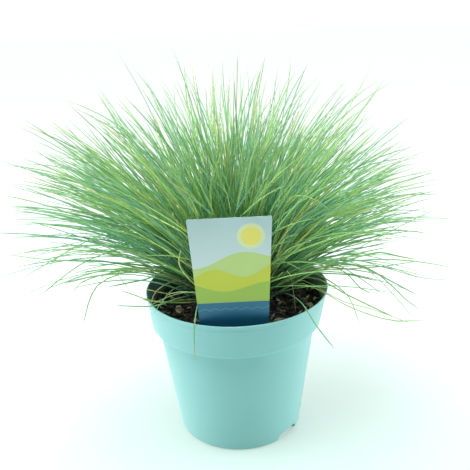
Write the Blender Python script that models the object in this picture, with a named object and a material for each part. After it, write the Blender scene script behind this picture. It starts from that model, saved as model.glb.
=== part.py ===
"""A clump of blue fescue in a round plastic nursery pot, with its potting mix and its label.

Metres, +Z up. The origin is the middle of the pot's underside, and -Y is the front, where the
label stands. An azimuth is counted from the front, towards +X.
"""

import math
import random

import bmesh
import bpy
from mathutils import Matrix, Vector, noise

# ---- Driving dimensions -------------------------------------------------------------------

GAP = 0.0003  # between pieces that lie against each other

POT_HEIGHT = 0.1465
RIM_RADIUS = 0.0850
LIP_HEIGHT = 0.0035  # the slightly thicker bead round the rim
LIP_STEP = 0.0004
COLLAR_FOOT = (0.0815, 0.1138)  # radius and height of the collar's lower edge
BODY_TOP = (0.0761, 0.1130)  # radius and height where the ledge under the collar meets the body
BASE_RADIUS = 0.0604
BASE_FILLET = 0.0018
WALL = 0.0013
POT_SEGMENTS = 60
RIM_SPREAD = 0.028  # the soft rim is out of round: this much wider from side to side,
RIM_SHIFT = 0.0016  # and pressed over towards +X

ARCH_AZIMUTHS = (48.5, 228.5)  # the two drain arches in the foot, opposite each other
ARCH_HALF_WIDTH = 13.7  # degrees
ARCH_HEIGHT = 0.0084
ARCH_DEPTH = 0.0090  # from the base's edge towards the axis
ARCH_STEPS = 10
SLOT_WIDTH = 0.0048
SLOT_HEIGHT = 0.0038
SLOT_LIFT = 0.0010  # of a drain slot over the pot's floor

SOIL_LEVEL = 0.1300
SOIL_TILT = 0.030  # the mix lies higher towards +X, by this many metres a metre
SOIL_HEAP = 0.0050  # how far it rises towards the crown
SOIL_LUMPS = 0.0020
SOIL_RINGS = 8
SOIL_SEGMENTS = 40

CROWN_LEVEL = 0.1370  # where the crown is widest, just above the mix
CROWN_RADIUS = 0.0340
CROWN_RISE = 0.0240
CROWN_BURIED = 0.0140  # how deep the crown goes under its widest level
CROWN_FOOT_RADIUS = 0.0290
CROWN_POINTS = 150
CROWN_FOOT_POINTS = 20

LOCK_LENGTH = 0.206  # the longest locks of leaves, from the crown to the tips
LOW_LOCK_SHARE = 0.84  # the lowest, oldest leaves are this much of that
LEFT_SHARE = 0.05  # leaves towards -X are longer, and those towards +X shorter, by this share
LOCK_SPREAD = (0.78, 1.04)  # how far one lock's length differs from its neighbours'
LOCK_RINGS = ((0.10, 0.58), (0.34, 0.40), (0.64, 0.25))  # shares of a lock's length and root width
LOCK_LEAN = math.radians(1.6)  # how far a lock strays from the even spread, less where they crowd
LOWEST_LEAF = math.radians(25)  # above the horizon, where it leaves the crown
HIGHEST_LEAF = math.radians(88)
BEHIND_LABEL_LEAF = math.radians(71)  # the lowest leaf behind the label, which holds them up
BEHIND_LABEL = (math.radians(32), math.radians(84))  # azimuths where that ends, and where it is gone
LOW_SAG = math.radians(70)  # how far the lowest leaves bend over, from crown to tip
HIGH_SAG = math.radians(6)
SEED = 11

LABEL_TOP_WIDTH = 0.0690
LABEL_FOOT_WIDTH = 0.0588
LABEL_PANEL = 0.1200  # height of the printed panel, whose foot is in the mix
LABEL_CORNER = 0.0015
LABEL_THICKNESS = 0.0006
SPIKE_WIDTH = 0.0150
SPIKE_LENGTH = 0.0450
LABEL_TOP = Vector((-0.0025, -0.0805, 0.2430))
LABEL_LEAN = math.radians(5.0)  # towards the front
LABEL_ROLL = math.radians(-0.25)

# ---- Finishes: base colour, roughness, metallic -------------------------------------------

FINISHES = {
    "mint_polypropylene": ((0.33, 0.68, 0.63), 0.42, 0.0),
    "potting_mix": ((0.035, 0.026, 0.018), 0.95, 0.0),
    "fescue_leaf": ((0.17, 0.36, 0.17), 0.55, 0.0),
    "label_card": ((0.46, 0.69, 0.74), 0.35, 0.0),
}


def finish(name):
    material = bpy.data.materials.new(name)
    material.use_nodes = True
    colour, roughness, metallic = FINISHES[name]
    shader = material.node_tree.nodes["Principled BSDF"]
    shader.inputs["Base Color"].default_value = (*colour, 1.0)
    shader.inputs["Roughness"].default_value = roughness
    shader.inputs["Metallic"].default_value = metallic
    material.diffuse_color = (*colour, 1.0)
    return material


# ---- Small helpers ------------------------------------------------------------------------


def toward(azimuth):
    """The level unit vector at an azimuth in radians."""
    return Vector((math.sin(azimuth), -math.cos(azimuth), 0.0))


def mix(a, b, share):
    return a + (b - a) * share


def ease(share):
    """A smooth step from 0 to 1."""
    share = min(1.0, max(0.0, share))
    return share * share * (3 - 2 * share)


def even_azimuths(count):
    return [math.tau * i / count for i in range(count)]


def add_object(name, bm, material=None):
    bmesh.ops.recalc_face_normals(bm, faces=bm.faces)
    mesh = bpy.data.meshes.new(name)
    bm.to_mesh(mesh)
    bm.free()
    obj = bpy.data.objects.new(name, mesh)
    bpy.context.scene.collection.objects.link(obj)
    if material is not None:
        mesh.materials.append(material)
    return obj


def make_cutter(obj):
    obj.hide_render = True
    obj.display_type = "WIRE"
    return obj


def cut(obj, cutter):
    modifier = obj.modifiers.new("cut by " + cutter.name, "BOOLEAN")
    modifier.operation = "DIFFERENCE"
    modifier.solver = "EXACT"
    modifier.object = cutter


def smooth_round(obj, degrees=35.0):
    obj.data.shade_smooth()
    obj.data.set_sharp_from_angle(angle=math.radians(degrees))


def skin(bm, rings):
    """Faces between each ring of vertices and the next. A ring of one vertex is a pole."""
    for upper, lower in zip(rings, rings[1:]):
        for i in range(max(len(upper), len(lower))):
            j = i + 1
            corners = [
                upper[i % len(upper)],
                upper[j % len(upper)],
                lower[j % len(lower)],
                lower[i % len(lower)],
            ]
            bm.faces.new(list(dict.fromkeys(corners)))


# ---- Pot ----------------------------------------------------------------------------------


def on_pot(radius, azimuth, height):
    """A point of the pot. Above the collar's foot the soft wall goes gently out of round."""
    point = toward(azimuth) * radius + Vector((0.0, 0.0, height))
    share = max(0.0, (height - COLLAR_FOOT[1]) / (POT_HEIGHT - COLLAR_FOOT[1]))
    point.x += (RIM_SPREAD * point.x + RIM_SHIFT) * min(1.0, share) ** 2
    return point


def turned(profile, segments):
    """A closed solid turned from (radius, height) points, from the axis at the top to the axis below."""
    bm = bmesh.new()
    rings = []
    for radius, height in profile:
        azimuths = even_azimuths(segments) if radius > 0.0 else [0.0]
        rings.append([bm.verts.new(on_pot(radius, azimuth, height)) for azimuth in azimuths])
    skin(bm, rings)
    return bm


def pot_side():
    """The pot's outer line from the rim down to the underside, as (radius, height) points."""
    return [
        (RIM_RADIUS, POT_HEIGHT),
        (RIM_RADIUS - LIP_STEP / 2, POT_HEIGHT - LIP_HEIGHT),
        (RIM_RADIUS - LIP_STEP * 1.5, POT_HEIGHT - LIP_HEIGHT - LIP_STEP),
        (COLLAR_FOOT[0] + LIP_STEP / 2, COLLAR_FOOT[1] + 2 * LIP_STEP),
        (COLLAR_FOOT[0] - LIP_STEP, COLLAR_FOOT[1]),
        (BODY_TOP[0] + LIP_STEP, BODY_TOP[1]),
        (BODY_TOP[0] - LIP_STEP / 2, BODY_TOP[1] - 2 * LIP_STEP),
        (BASE_RADIUS + LIP_STEP / 2, BASE_FILLET),
        (BASE_RADIUS - BASE_FILLET, 0.0),
    ]


def cavity_side(inset):
    """The side line of what lies inside the wall, from the collar's top down to the floor."""
    below_lip, *ledge = pot_side()[2:-2]
    side = [(below_lip[0] - inset, below_lip[1])]
    side += [(radius - inset, height + inset) for radius, height in ledge]
    side.append((BASE_RADIUS + LIP_STEP / 2 - inset, BASE_FILLET + inset))
    side.append((BASE_RADIUS - BASE_FILLET - inset, inset))
    return side


def arch_cutter(name, azimuth, grow):
    """The recess of one drain arch, grown on all sides by what is to stay round it."""
    inner = BASE_RADIUS - ARCH_DEPTH - grow
    outer = BASE_RADIUS + 0.010
    foot = -0.002
    half = math.radians(ARCH_HALF_WIDTH) + grow / BASE_RADIUS
    bm = bmesh.new()
    columns = []
    for i in range(ARCH_STEPS + 1):
        share = 2 * i / ARCH_STEPS - 1
        crest = (ARCH_HEIGHT + grow) * (1 - abs(0.985 * share) ** 5) ** 0.6
        across = toward(math.radians(azimuth) + half * share)
        corners = ((inner, foot), (outer, foot), (outer, crest), (inner, crest))
        columns.append([bm.verts.new(across * radius + Vector((0, 0, z))) for radius, z in corners])
    for left, right in zip(columns, columns[1:]):
        for a in range(4):
            b = (a + 1) % 4
            bm.faces.new((left[a], left[b], right[b], right[a]))
    bm.faces.new(columns[0])
    bm.faces.new(columns[-1])
    return make_cutter(add_object(name, bm))


def slot_cutter(name, azimuth, radius, turn):
    """A small block that makes a drain slot: it pierces the wall that faces along turn."""
    bm = bmesh.new()
    bmesh.ops.create_cube(bm, size=1.0)
    size = Matrix.Diagonal((SLOT_WIDTH, 4 * WALL, SLOT_HEIGHT, 1.0))
    centre = toward(azimuth) * radius + Vector((0, 0, WALL + SLOT_LIFT + SLOT_HEIGHT / 2))
    place = Matrix.Translation(centre) @ Matrix.Rotation(turn, 4, "Z")
    bmesh.ops.transform(bm, matrix=place @ size, verts=bm.verts)
    return make_cutter(add_object(name, bm))


def slots_of_arch(azimuth):
    """Place and turn of an arch's three drain slots: one in its back wall and one in each end."""
    middle = math.radians(azimuth)
    end = math.radians(ARCH_HALF_WIDTH - 0.9)
    quarter = math.pi / 2
    return [
        (middle, BASE_RADIUS - ARCH_DEPTH - WALL / 2, middle),
        (middle - end, BASE_RADIUS - SLOT_WIDTH * 0.7, middle - end + quarter),
        (middle + end, BASE_RADIUS - SLOT_WIDTH * 0.7, middle + end + quarter),
    ]


def build_cavity():
    """The inside of the pot: open above, and standing up over the arches."""
    above = POT_HEIGHT + 0.010
    mouth = RIM_RADIUS - WALL
    side = cavity_side(WALL)
    profile = [(0.0, above), (mouth, above), (mouth, POT_HEIGHT), *side, (0.0, side[-1][1])]
    cavity = make_cutter(add_object("cavity", turned(profile, POT_SEGMENTS)))
    for number, azimuth in enumerate(ARCH_AZIMUTHS, 1):
        cut(cavity, arch_cutter(f"cavity_arch_{number}", azimuth, WALL))
    return cavity


def build_pot():
    profile = [(0.0, POT_HEIGHT), *pot_side(), (0.0, 0.0)]
    pot = add_object("pot", turned(profile, POT_SEGMENTS), finish("mint_polypropylene"))
    for number, azimuth in enumerate(ARCH_AZIMUTHS, 1):
        cut(pot, arch_cutter(f"arch_{number}", azimuth, 0.0))
    cut(pot, build_cavity())
    for arch, azimuth in enumerate(ARCH_AZIMUTHS, 1):
        for slot, place in enumerate(slots_of_arch(azimuth), 1):
            cut(pot, slot_cutter(f"slot_{arch}_{slot}", *place))
    smooth_round(pot)
    return pot


# ---- Potting mix --------------------------------------------------------------------------


def soil_height(x, y):
    heap = SOIL_HEAP * max(0.0, 1 - math.hypot(x, y) / RIM_RADIUS) ** 1.2
    lumps = noise.noise(Vector((x, y, 0.0)) * 95.0) + 0.6 * noise.noise(Vector((x, y, 0.3)) * 210.0)
    return SOIL_LEVEL + SOIL_TILT * x + heap + SOIL_LUMPS * lumps


def build_soil(crown_socket, label_slot):
    """The mix: an uneven top over the pot's own inside, socketed for the crown and slit for the label."""
    inset = WALL + GAP
    side = cavity_side(inset)
    edge = COLLAR_FOOT[0] - inset + 2 * LIP_STEP
    azimuths = even_azimuths(SOIL_SEGMENTS)
    bm = bmesh.new()
    rings = [[bm.verts.new((0, 0, soil_height(0, 0)))]]
    for ring in range(1, SOIL_RINGS + 1):
        points = [on_pot(edge * ring / SOIL_RINGS, azimuth, SOIL_LEVEL) for azimuth in azimuths]
        rings.append([bm.verts.new((p.x, p.y, soil_height(p.x, p.y))) for p in points])
    for radius, height in side[1:]:
        rings.append([bm.verts.new(on_pot(radius, azimuth, height)) for azimuth in azimuths])
    rings.append([bm.verts.new((0, 0, side[-1][1]))])
    skin(bm, rings)
    soil = add_object("potting_mix", bm, finish("potting_mix"))
    for number, azimuth in enumerate(ARCH_AZIMUTHS, 1):
        cut(soil, arch_cutter(f"mix_arch_{number}", azimuth, inset))
    cut(soil, crown_socket)
    cut(soil, label_slot)
    return soil


def build_crown_socket():
    """What the buried foot of the crown takes out of the mix, with its gap."""
    above = CROWN_LEVEL + 0.012
    foot = CROWN_LEVEL - CROWN_BURIED - GAP
    widest = CROWN_RADIUS + GAP
    foot_radius = CROWN_FOOT_RADIUS + GAP
    profile = [(0.0, above), (widest, above), (widest, CROWN_LEVEL), (foot_radius, foot), (0.0, foot)]
    bm = bmesh.new()
    rings = []
    for radius, height in profile:
        azimuths = even_azimuths(CROWN_FOOT_POINTS * 2) if radius > 0.0 else [0.0]
        rings.append([bm.verts.new(toward(a) * radius + Vector((0, 0, height))) for a in azimuths])
    skin(bm, rings)
    return make_cutter(add_object("crown_socket", bm))


# ---- Label --------------------------------------------------------------------------------


def label_outline(grow):
    """The label's edge in its own plane, clockwise from the top left: x to the right, z up."""
    top = LABEL_TOP_WIDTH / 2 + grow
    foot = LABEL_FOOT_WIDTH / 2 + grow
    spike = SPIKE_WIDTH / 2 + grow
    corner = LABEL_CORNER
    panel_foot = -LABEL_PANEL - grow
    right = [
        (top - corner, grow),
        (top - 0.3 * corner, grow - 0.3 * corner),
        (top, grow - corner),
        (foot, panel_foot + 8 * corner),
        (foot - 2.5 * corner, panel_foot + 2.5 * corner),
        (spike + 4 * corner, panel_foot),
        (spike, panel_foot - 4 * corner),
        (spike * 0.55, panel_foot - 0.7 * SPIKE_LENGTH),
    ]
    tip = [(0.0, panel_foot - SPIKE_LENGTH)]
    return right + tip + [(-x, z) for x, z in reversed(right)]


def label_solid(name, grow, material=None):
    bm = bmesh.new()
    half = LABEL_THICKNESS / 2 + grow
    panel = bm.faces.new([bm.verts.new((x, -half, z)) for x, z in label_outline(grow)])
    pushed = bmesh.ops.extrude_face_region(bm, geom=[panel])["geom"]
    back = [v for v in pushed if isinstance(v, bmesh.types.BMVert)]
    bmesh.ops.translate(bm, vec=(0, 2 * half, 0), verts=back)
    obj = add_object(name, bm, material)
    turn = Matrix.Rotation(LABEL_ROLL, 4, "Y") @ Matrix.Rotation(LABEL_LEAN, 4, "X")
    obj.matrix_world = Matrix.Translation(LABEL_TOP) @ turn
    return obj


# ---- Grass --------------------------------------------------------------------------------


def lowest_elevation(azimuth):
    """How low the leaves start at an azimuth. Behind the label they are held nearly upright."""
    away = abs(math.remainder(azimuth, math.tau))
    start, end = BEHIND_LABEL
    return mix(BEHIND_LABEL_LEAF, LOWEST_LEAF, ease((away - start) / (end - start)))


def uprightness(elevation):
    """0 for the lowest leaves and 1 for the ones that stand straight up."""
    return max(0.0, (elevation - LOWEST_LEAF) / (math.radians(90) - LOWEST_LEAF))


def leaf_point(root, azimuth, elevation, distance):
    """A point along a leaf, which bends over evenly: low leaves much, and upright ones little."""
    bend = mix(LOW_SAG, HIGH_SAG, uprightness(elevation) ** 0.7) / LOCK_LENGTH
    lowered = elevation - bend * distance
    out = (math.sin(elevation) - math.sin(lowered)) / bend
    rise = (math.cos(lowered) - math.cos(elevation)) / bend
    return root + toward(azimuth) * out + Vector((0, 0, rise))


def lock_length(azimuth, elevation):
    low_share = mix(LOW_LOCK_SHARE, 1.0, ease(uprightness(elevation) * 2))
    return LOCK_LENGTH * low_share * (1.0 - LEFT_SHARE * math.sin(azimuth) * math.cos(elevation))


def crown_points():
    """Points spread evenly over the crown's dome, then the ring of its buried foot."""
    golden = math.pi * (3 - math.sqrt(5))
    points = []
    for i in range(CROWN_POINTS):
        height = (i + 0.5) / CROWN_POINTS
        side = toward(i * golden) * CROWN_RADIUS * math.sqrt(1 - height * height)
        points.append(side + Vector((0, 0, CROWN_LEVEL + CROWN_RISE * height)))
    for azimuth in even_azimuths(CROWN_FOOT_POINTS):
        foot = Vector((0, 0, CROWN_LEVEL - CROWN_BURIED))
        points.append(toward(azimuth) * CROWN_FOOT_RADIUS + foot)
    return points


def skin_lock(bm, lower, upper):
    """Closes the band between two rings of a lock. The upper one may be the tip."""
    for i in range(len(lower)):
        j = (i + 1) % len(lower)
        corners = [lower[i], lower[j], upper[j % len(upper)], upper[i % len(upper)]]
        bm.faces.new(list(dict.fromkeys(corners)))


def grow_lock(bm, face, rng):
    """Draws one face of the crown out into a tapering lock of leaves along its arc."""
    root = face.calc_center_median()
    height = min(1.0, (root.z - CROWN_LEVEL) / CROWN_RISE)
    azimuth = math.atan2(root.x, -root.y)
    lowest = lowest_elevation(azimuth)
    lean = LOCK_LEAN * (HIGHEST_LEAF - lowest) / (HIGHEST_LEAF - LOWEST_LEAF)
    elevation = mix(lowest, HIGHEST_LEAF, math.asin(height) / (math.pi / 2))
    elevation = min(elevation + rng.gauss(0, lean), HIGHEST_LEAF)
    azimuth += rng.gauss(0, lean)
    length = lock_length(azimuth, elevation) * rng.uniform(*LOCK_SPREAD)

    def point(share):
        return leaf_point(root, azimuth, elevation, share * length)

    def heading(share):
        return (point(share + 0.01) - point(share)).normalized()

    start = heading(0.0)
    spokes = [v.co - root - start * start.dot(v.co - root) for v in face.verts]
    below = list(face.verts)
    for share, width in LOCK_RINGS:
        turn = start.rotation_difference(heading(share)).to_matrix()
        ring = [bm.verts.new(point(share) + turn @ (spoke * width)) for spoke in spokes]
        skin_lock(bm, below, ring)
        below = ring
    skin_lock(bm, below, [bm.verts.new(point(1.0))])
    bm.faces.remove(face)


def build_grass():
    rng = random.Random(SEED)
    bm = bmesh.new()
    for point in crown_points():
        bm.verts.new(point)
    bmesh.ops.convex_hull(bm, input=bm.verts)
    dome = [face for face in bm.faces if min(v.co.z for v in face.verts) > CROWN_LEVEL]
    for face in dome:
        grow_lock(bm, face, rng)
    return add_object("grass_clump", bm, finish("fescue_leaf"))


def main():
    for obj in list(bpy.data.objects):
        bpy.data.objects.remove(obj)
    build_pot()
    build_soil(build_crown_socket(), make_cutter(label_solid("label_slot", GAP)))
    label_solid("plant_label", 0.0, finish("label_card"))
    build_grass()


main()
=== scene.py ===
# %% [markdown]
# # A clump of blue fescue in its nursery pot
# Blue fescue is a tufted garden grass. Its leaves are rolled into needles one to two millimetres
# thick, and all of them spring from one crown as wide as a teacup. The plant stands in a soft
# plastic pot full of bark and peat, with a printed label stuck in at the front.
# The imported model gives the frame: where each thing stands and how far it reaches. This file
# dresses it, from the pot up to the last stray leaf. Lengths are in metres, +Z is up, and -Y is
# the front. An azimuth is counted from the front, towards +X.

import math

import bmesh
import bpy
import numpy as np
from mathutils import Matrix, Vector, noise


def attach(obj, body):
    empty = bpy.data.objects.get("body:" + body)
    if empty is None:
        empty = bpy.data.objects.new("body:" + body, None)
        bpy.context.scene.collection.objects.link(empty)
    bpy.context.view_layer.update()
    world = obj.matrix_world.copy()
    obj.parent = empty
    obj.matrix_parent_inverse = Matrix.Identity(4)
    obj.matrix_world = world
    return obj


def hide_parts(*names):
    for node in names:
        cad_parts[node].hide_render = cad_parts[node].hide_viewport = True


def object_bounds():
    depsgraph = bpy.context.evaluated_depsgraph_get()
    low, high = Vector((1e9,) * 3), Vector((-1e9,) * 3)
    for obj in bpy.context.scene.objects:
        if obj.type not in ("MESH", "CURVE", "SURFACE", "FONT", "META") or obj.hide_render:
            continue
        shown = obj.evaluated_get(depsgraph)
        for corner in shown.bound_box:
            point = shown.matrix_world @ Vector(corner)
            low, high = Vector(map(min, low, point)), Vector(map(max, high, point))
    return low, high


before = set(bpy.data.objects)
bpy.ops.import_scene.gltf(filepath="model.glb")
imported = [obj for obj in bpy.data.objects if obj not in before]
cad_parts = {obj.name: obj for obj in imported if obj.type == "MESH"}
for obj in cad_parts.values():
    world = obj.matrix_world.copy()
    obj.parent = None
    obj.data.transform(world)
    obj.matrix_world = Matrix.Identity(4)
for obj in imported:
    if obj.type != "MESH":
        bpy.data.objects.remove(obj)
CAD_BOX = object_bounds()
MM = 0.001
print("nodes:", sorted(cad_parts))
print("CAD box, mm:", [[round(c / MM, 1) for c in corner] for corner in CAD_BOX])

# %% [markdown]
# ## Camera
# A camera is a pinhole and a frame. This one stands 58 cm in front of the pot and 42 cm up, looks
# down by some twenty degrees and is tipped a little to one side, as a hand-held one is. The lens
# is 51 mm on a 36 mm wide sensor. Its matrix is built from the three directions that it has:
# right, up and forward.

# %% Camera
CAMERA_BACK, CAMERA_UP = 0.5823, 0.4178
YAW, PITCH, ROLL = (math.radians(angle) for angle in (0.193, 20.707, -2.462))
LENS_LENGTH, SENSOR_WIDTH = 50.94, 36.0  # mm
SEEN_FROM = 0.01  # nothing nearer than this is drawn

forward = Vector((math.sin(YAW) * math.cos(PITCH), math.cos(YAW) * math.cos(PITCH), -math.sin(PITCH)))
level = Vector((math.cos(YAW), -math.sin(YAW), 0.0))
upward = level.cross(forward)
right = level * math.cos(ROLL) + upward * math.sin(ROLL)
top = upward * math.cos(ROLL) - level * math.sin(ROLL)

lens = bpy.data.cameras.new("camera")
lens.sensor_width = SENSOR_WIDTH
lens.lens = LENS_LENGTH
lens.clip_start = SEEN_FROM
camera = bpy.data.objects.new("camera", lens)
rotation = Matrix((right, top, -forward)).transposed().to_4x4()
camera.matrix_world = Matrix.Translation((0.0, -CAMERA_BACK, CAMERA_UP)) @ rotation
bpy.context.scene.collection.objects.link(camera)
bpy.context.scene.camera = camera
print("lens:", round(lens.lens, 2), "mm")

# %% [markdown]
# ## Colours and nodes
# A colour is given as an sRGB hex value, but a shader works in linear light, so one function
# turns the one into the other. A second adds a node: its own settings, the values on its sockets,
# and the wires that come into it. All the finishes below are made with these two.

# %% Colours and nodes


def linear(hex_colour):
    """The linear colour of an sRGB hex value such as "#7fb8b4"."""
    parts = [int(hex_colour[i : i + 2], 16) / 255 for i in (1, 3, 5)]
    light = [c / 12.92 if c <= 0.04045 else ((c + 0.055) / 1.055) ** 2.4 for c in parts]
    return (*light, 1.0)


def add_node(tree, kind, settings=None, values=None, wires=None):
    """Adds a node with its own settings, its sockets' values, and the sockets wired into it."""
    node = tree.nodes.new(kind)
    for name, value in (settings or {}).items():
        setattr(node, name, value)
    for name, value in (values or {}).items():
        node.inputs[name].default_value = value
    for name, source in (wires or {}).items():
        tree.links.new(source, node.inputs[name])
    return node


def new_material(name):
    """An empty material with its Principled shader: returns the material, its tree and the shader."""
    material = bpy.data.materials.new(name)
    material.use_nodes = True
    return material, material.node_tree, material.node_tree.nodes["Principled BSDF"]


# %% [markdown]
# ## The studio
# The plant stands on a pale, softly glowing table, so there is next to no shadow under the pot.
# The light comes from all round, most of it from above, behind and the sides. It is weaker from
# where the camera stands, so the front of the pot is a little deeper in colour than its edges.
# A world with a gradient gives that. Three soft boxes, one overhead and one at each side, pick out
# the leaves and the pot's edges. The table's glow is painted light: faintly green round the pot,
# for the light that the pot and the leaves throw on it, and whiter and stronger the farther it is
# from them. Behind it all hangs a white backdrop that only the camera sees, so it adds no
# light.

# %% The studio
scene = bpy.context.scene
scene.view_settings.view_transform = "Standard"
scene.view_settings.look = "None"

FRONT_LIGHT, BACK_LIGHT = 0.06, 1.10
LIT_FROM, LIT_TO = -0.85, 0.30  # how far round to the back the light rises, from -1 to 1

world = bpy.data.worlds.new("studio")
scene.world = world
world.use_nodes = True
sky = world.node_tree
place = add_node(sky, "ShaderNodeTexCoord")
axes = add_node(sky, "ShaderNodeSeparateXYZ", wires={0: place.outputs["Generated"]})
from_behind = add_node(
    sky,
    "ShaderNodeMapRange",
    {"interpolation_type": "SMOOTHSTEP"},
    {"From Min": LIT_FROM, "From Max": LIT_TO, "To Min": FRONT_LIGHT, "To Max": BACK_LIGHT},
    {"Value": axes.outputs["Y"]},
)
background = sky.nodes["Background"]
background.inputs["Color"].default_value = linear("#fcffff")
sky.links.new(from_behind.outputs["Result"], background.inputs["Strength"])
print("world light:", FRONT_LIGHT, "in front to", BACK_LIGHT, "behind")

# %% [markdown]
# ### Soft boxes
# A soft box is a disc of light. The larger it is, the softer the shadow that it casts; the power
# is in watts. Each one is turned to the pot's collar, and the camera doesn't see it.

# %% Soft boxes
COLLAR_MIDDLE = Vector((0.0, 0.0, 0.12))
SOFTBOX_COLOUR = "#f4ffff"


def add_softbox(name, place, size, watts):
    """A round soft box that looks at the pot's collar and doesn't show itself."""
    light = bpy.data.lights.new(name, "AREA")
    light.shape = "DISK"
    light.size, light.energy = size, watts
    light.color = linear(SOFTBOX_COLOUR)[:3]
    box = bpy.data.objects.new(name, light)
    box.location = place
    aim = COLLAR_MIDDLE - box.location
    box.rotation_euler = aim.to_track_quat("-Z", "Y").to_euler()
    box.visible_camera = False
    scene.collection.objects.link(box)
    print(name, round(aim.length, 2), "m away,", watts, "W")


add_softbox("softbox_above", (-0.27, -0.23, 1.5), 1.1, 27.4)
add_softbox("softbox_left", (-1.05, 0.02, 0.35), 0.8, 4.8)
add_softbox("softbox_right", (1.05, 0.06, 0.35), 0.8, 5.9)

# %% [markdown]
# ### Table
# The table is one flat face, and its glow depends on how far a point is from a spot in front of
# the pot. It is stage, as is the backdrop: neither is part of the model.

# %% Table
TABLE_REACH = 6.0
GLOW_SPOT = (0.0, -0.25, 0.0)
GLOW_NEAR, GLOW_FAR = 0.12, 0.60  # metres from the spot, where the glow starts and ends its rise
# Painted light: the glow is green near the pot for the light it throws, whiter and stronger far off.
NEAR_GLOW, FAR_GLOW = (0.41, "#e8fff3"), (0.62, "#fffbfb")

table_finish, tree, shader = new_material("glowing_table")
shader.inputs["Base Color"].default_value = linear("#9fadaa")
shader.inputs["Roughness"].default_value = 0.6
place = add_node(tree, "ShaderNodeTexCoord")
away = add_node(
    tree,
    "ShaderNodeVectorMath",
    {"operation": "DISTANCE"},
    {1: GLOW_SPOT},
    {0: place.outputs["Object"]},
)
far_off = add_node(
    tree,
    "ShaderNodeMapRange",
    {"interpolation_type": "SMOOTHSTEP"},
    {"From Min": GLOW_NEAR, "From Max": GLOW_FAR},
    {"Value": away.outputs["Value"]},
)
near_glow, far_glow = ([power * c for c in linear(hue)] for power, hue in (NEAR_GLOW, FAR_GLOW))
glow = add_node(
    tree,
    "ShaderNodeMix",
    {"data_type": "RGBA"},
    {6: near_glow, 7: far_glow},
    {0: far_off.outputs["Result"]},
)
tree.links.new(glow.outputs[2], shader.inputs["Emission Color"])
shader.inputs["Emission Strength"].default_value = 1.0

table_mesh = bpy.data.meshes.new("table")
corners = [(TABLE_REACH * x, TABLE_REACH * y, 0) for x, y in ((-1, -1), (1, -1), (1, 1), (-1, 1))]
table_mesh.from_pydata(corners, [], [(0, 1, 2, 3)])
table = bpy.data.objects.new("table", table_mesh)
table_mesh.materials.append(table_finish)
scene.collection.objects.link(table)
print("table:", 2 * TABLE_REACH, "m across")

# %% [markdown]
# ### Backdrop
# The backdrop is a white sphere round everything, a little smaller than the table is wide. The
# light doesn't see it; only the camera does.

# %% Backdrop
BACKDROP_RADIUS = TABLE_REACH * 0.98
BACKDROP_ROUND, BACKDROP_UP = 48, 24  # faces

backdrop_finish, tree, shader = new_material("white_backdrop")
shader.inputs["Base Color"].default_value = linear("#000000")
shader.inputs["Emission Color"].default_value = linear("#fdffff")
shader.inputs["Emission Strength"].default_value = 1.0
bm = bmesh.new()
bmesh.ops.create_uvsphere(
    bm, u_segments=BACKDROP_ROUND, v_segments=BACKDROP_UP, radius=BACKDROP_RADIUS
)
backdrop_mesh = bpy.data.meshes.new("backdrop")
bm.to_mesh(backdrop_mesh)
bm.free()
backdrop_mesh.materials.append(backdrop_finish)
backdrop = bpy.data.objects.new("backdrop", backdrop_mesh)
scene.collection.objects.link(backdrop)
for seen_by in ("diffuse", "glossy", "transmission", "volume_scatter", "shadow"):
    setattr(backdrop, f"visible_{seen_by}", False)
print("backdrop:", len(backdrop_mesh.polygons), "faces")

# %% [markdown]
# ## How a piece joins the model
# Every piece is one mesh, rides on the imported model's only body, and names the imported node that
# it stands for. A piece that is made of many small things, such as leaves or crumbs, also has a
# spare UV map: the exported model stores its colours in a picture, and a map in which no two faces
# share a place keeps them sharp there. The pieces' own finishes don't need that map.

# %% How a piece joins the model


def add_piece(name, mesh, finishes, node, place=Matrix.Identity(4)):
    """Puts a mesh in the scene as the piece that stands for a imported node."""
    piece = bpy.data.objects.new(name, mesh)
    piece.matrix_world = place
    for finish in finishes:
        mesh.materials.append(finish)
    scene.collection.objects.link(piece)
    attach(piece, "root")
    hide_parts(node)
    print(f"{name}: {len(mesh.polygons)} faces")
    return piece


# %% [markdown]
# ## Small helpers
# The same four steps come back all the time: a blend of two values, a smooth step, the direction
# of an azimuth, and the spare UV map of a mesh.

# %% Small helpers
CELL_SHARE = 0.55  # how far a face reaches out from the middle of its cell in the spare map


def mix(a, b, share):
    """From a to b as share goes from 0 to 1."""
    return a + (b - a) * share


def ease(share):
    """A smooth step from 0 to 1."""
    share = np.clip(share, 0.0, 1.0)
    return share * share * (3 - 2 * share)


def toward(azimuth):
    """The level unit vectors at some azimuths in radians."""
    azimuth = np.asarray(azimuth, float)
    return np.stack([np.sin(azimuth), -np.cos(azimuth), np.zeros_like(azimuth)], -1)


def map_each_face(mesh):
    """Gives each face a cell of its own in the spare map; one of many corners is kept smaller."""
    across = math.ceil(math.sqrt(len(mesh.polygons)))
    layer = mesh.uv_layers.new(name="OFBake")
    for face in mesh.polygons:
        row, column = divmod(face.index, across)
        for corner, loop in enumerate(face.loop_indices):
            turn = math.tau * (corner + 0.5) / face.loop_total
            reach = min(1.0, 4 / face.loop_total + 0.2)
            u = column + 0.5 + CELL_SHARE * math.cos(turn) * reach
            v = row + 0.5 + CELL_SHARE * math.sin(turn) * reach
            layer.data[loop].uv = (u / across, v / across)


# %% [markdown]
# ## The pot
# It is injection moulded in one piece: a wall 1.3 mm thick, a collar 33 mm deep that stiffens
# the rim and ends in a ledge 5 mm wide, a lip that stands a hair proud round the top, and two
# arches in the foot where the water drains through small slots. Turning is the natural way to
# model it: a half section swept round the axis. Every corner of the section is softened first,
# because a mould has no knife edges and a soft corner is what catches the light. Then the arches
# and slots are cut out.

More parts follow.
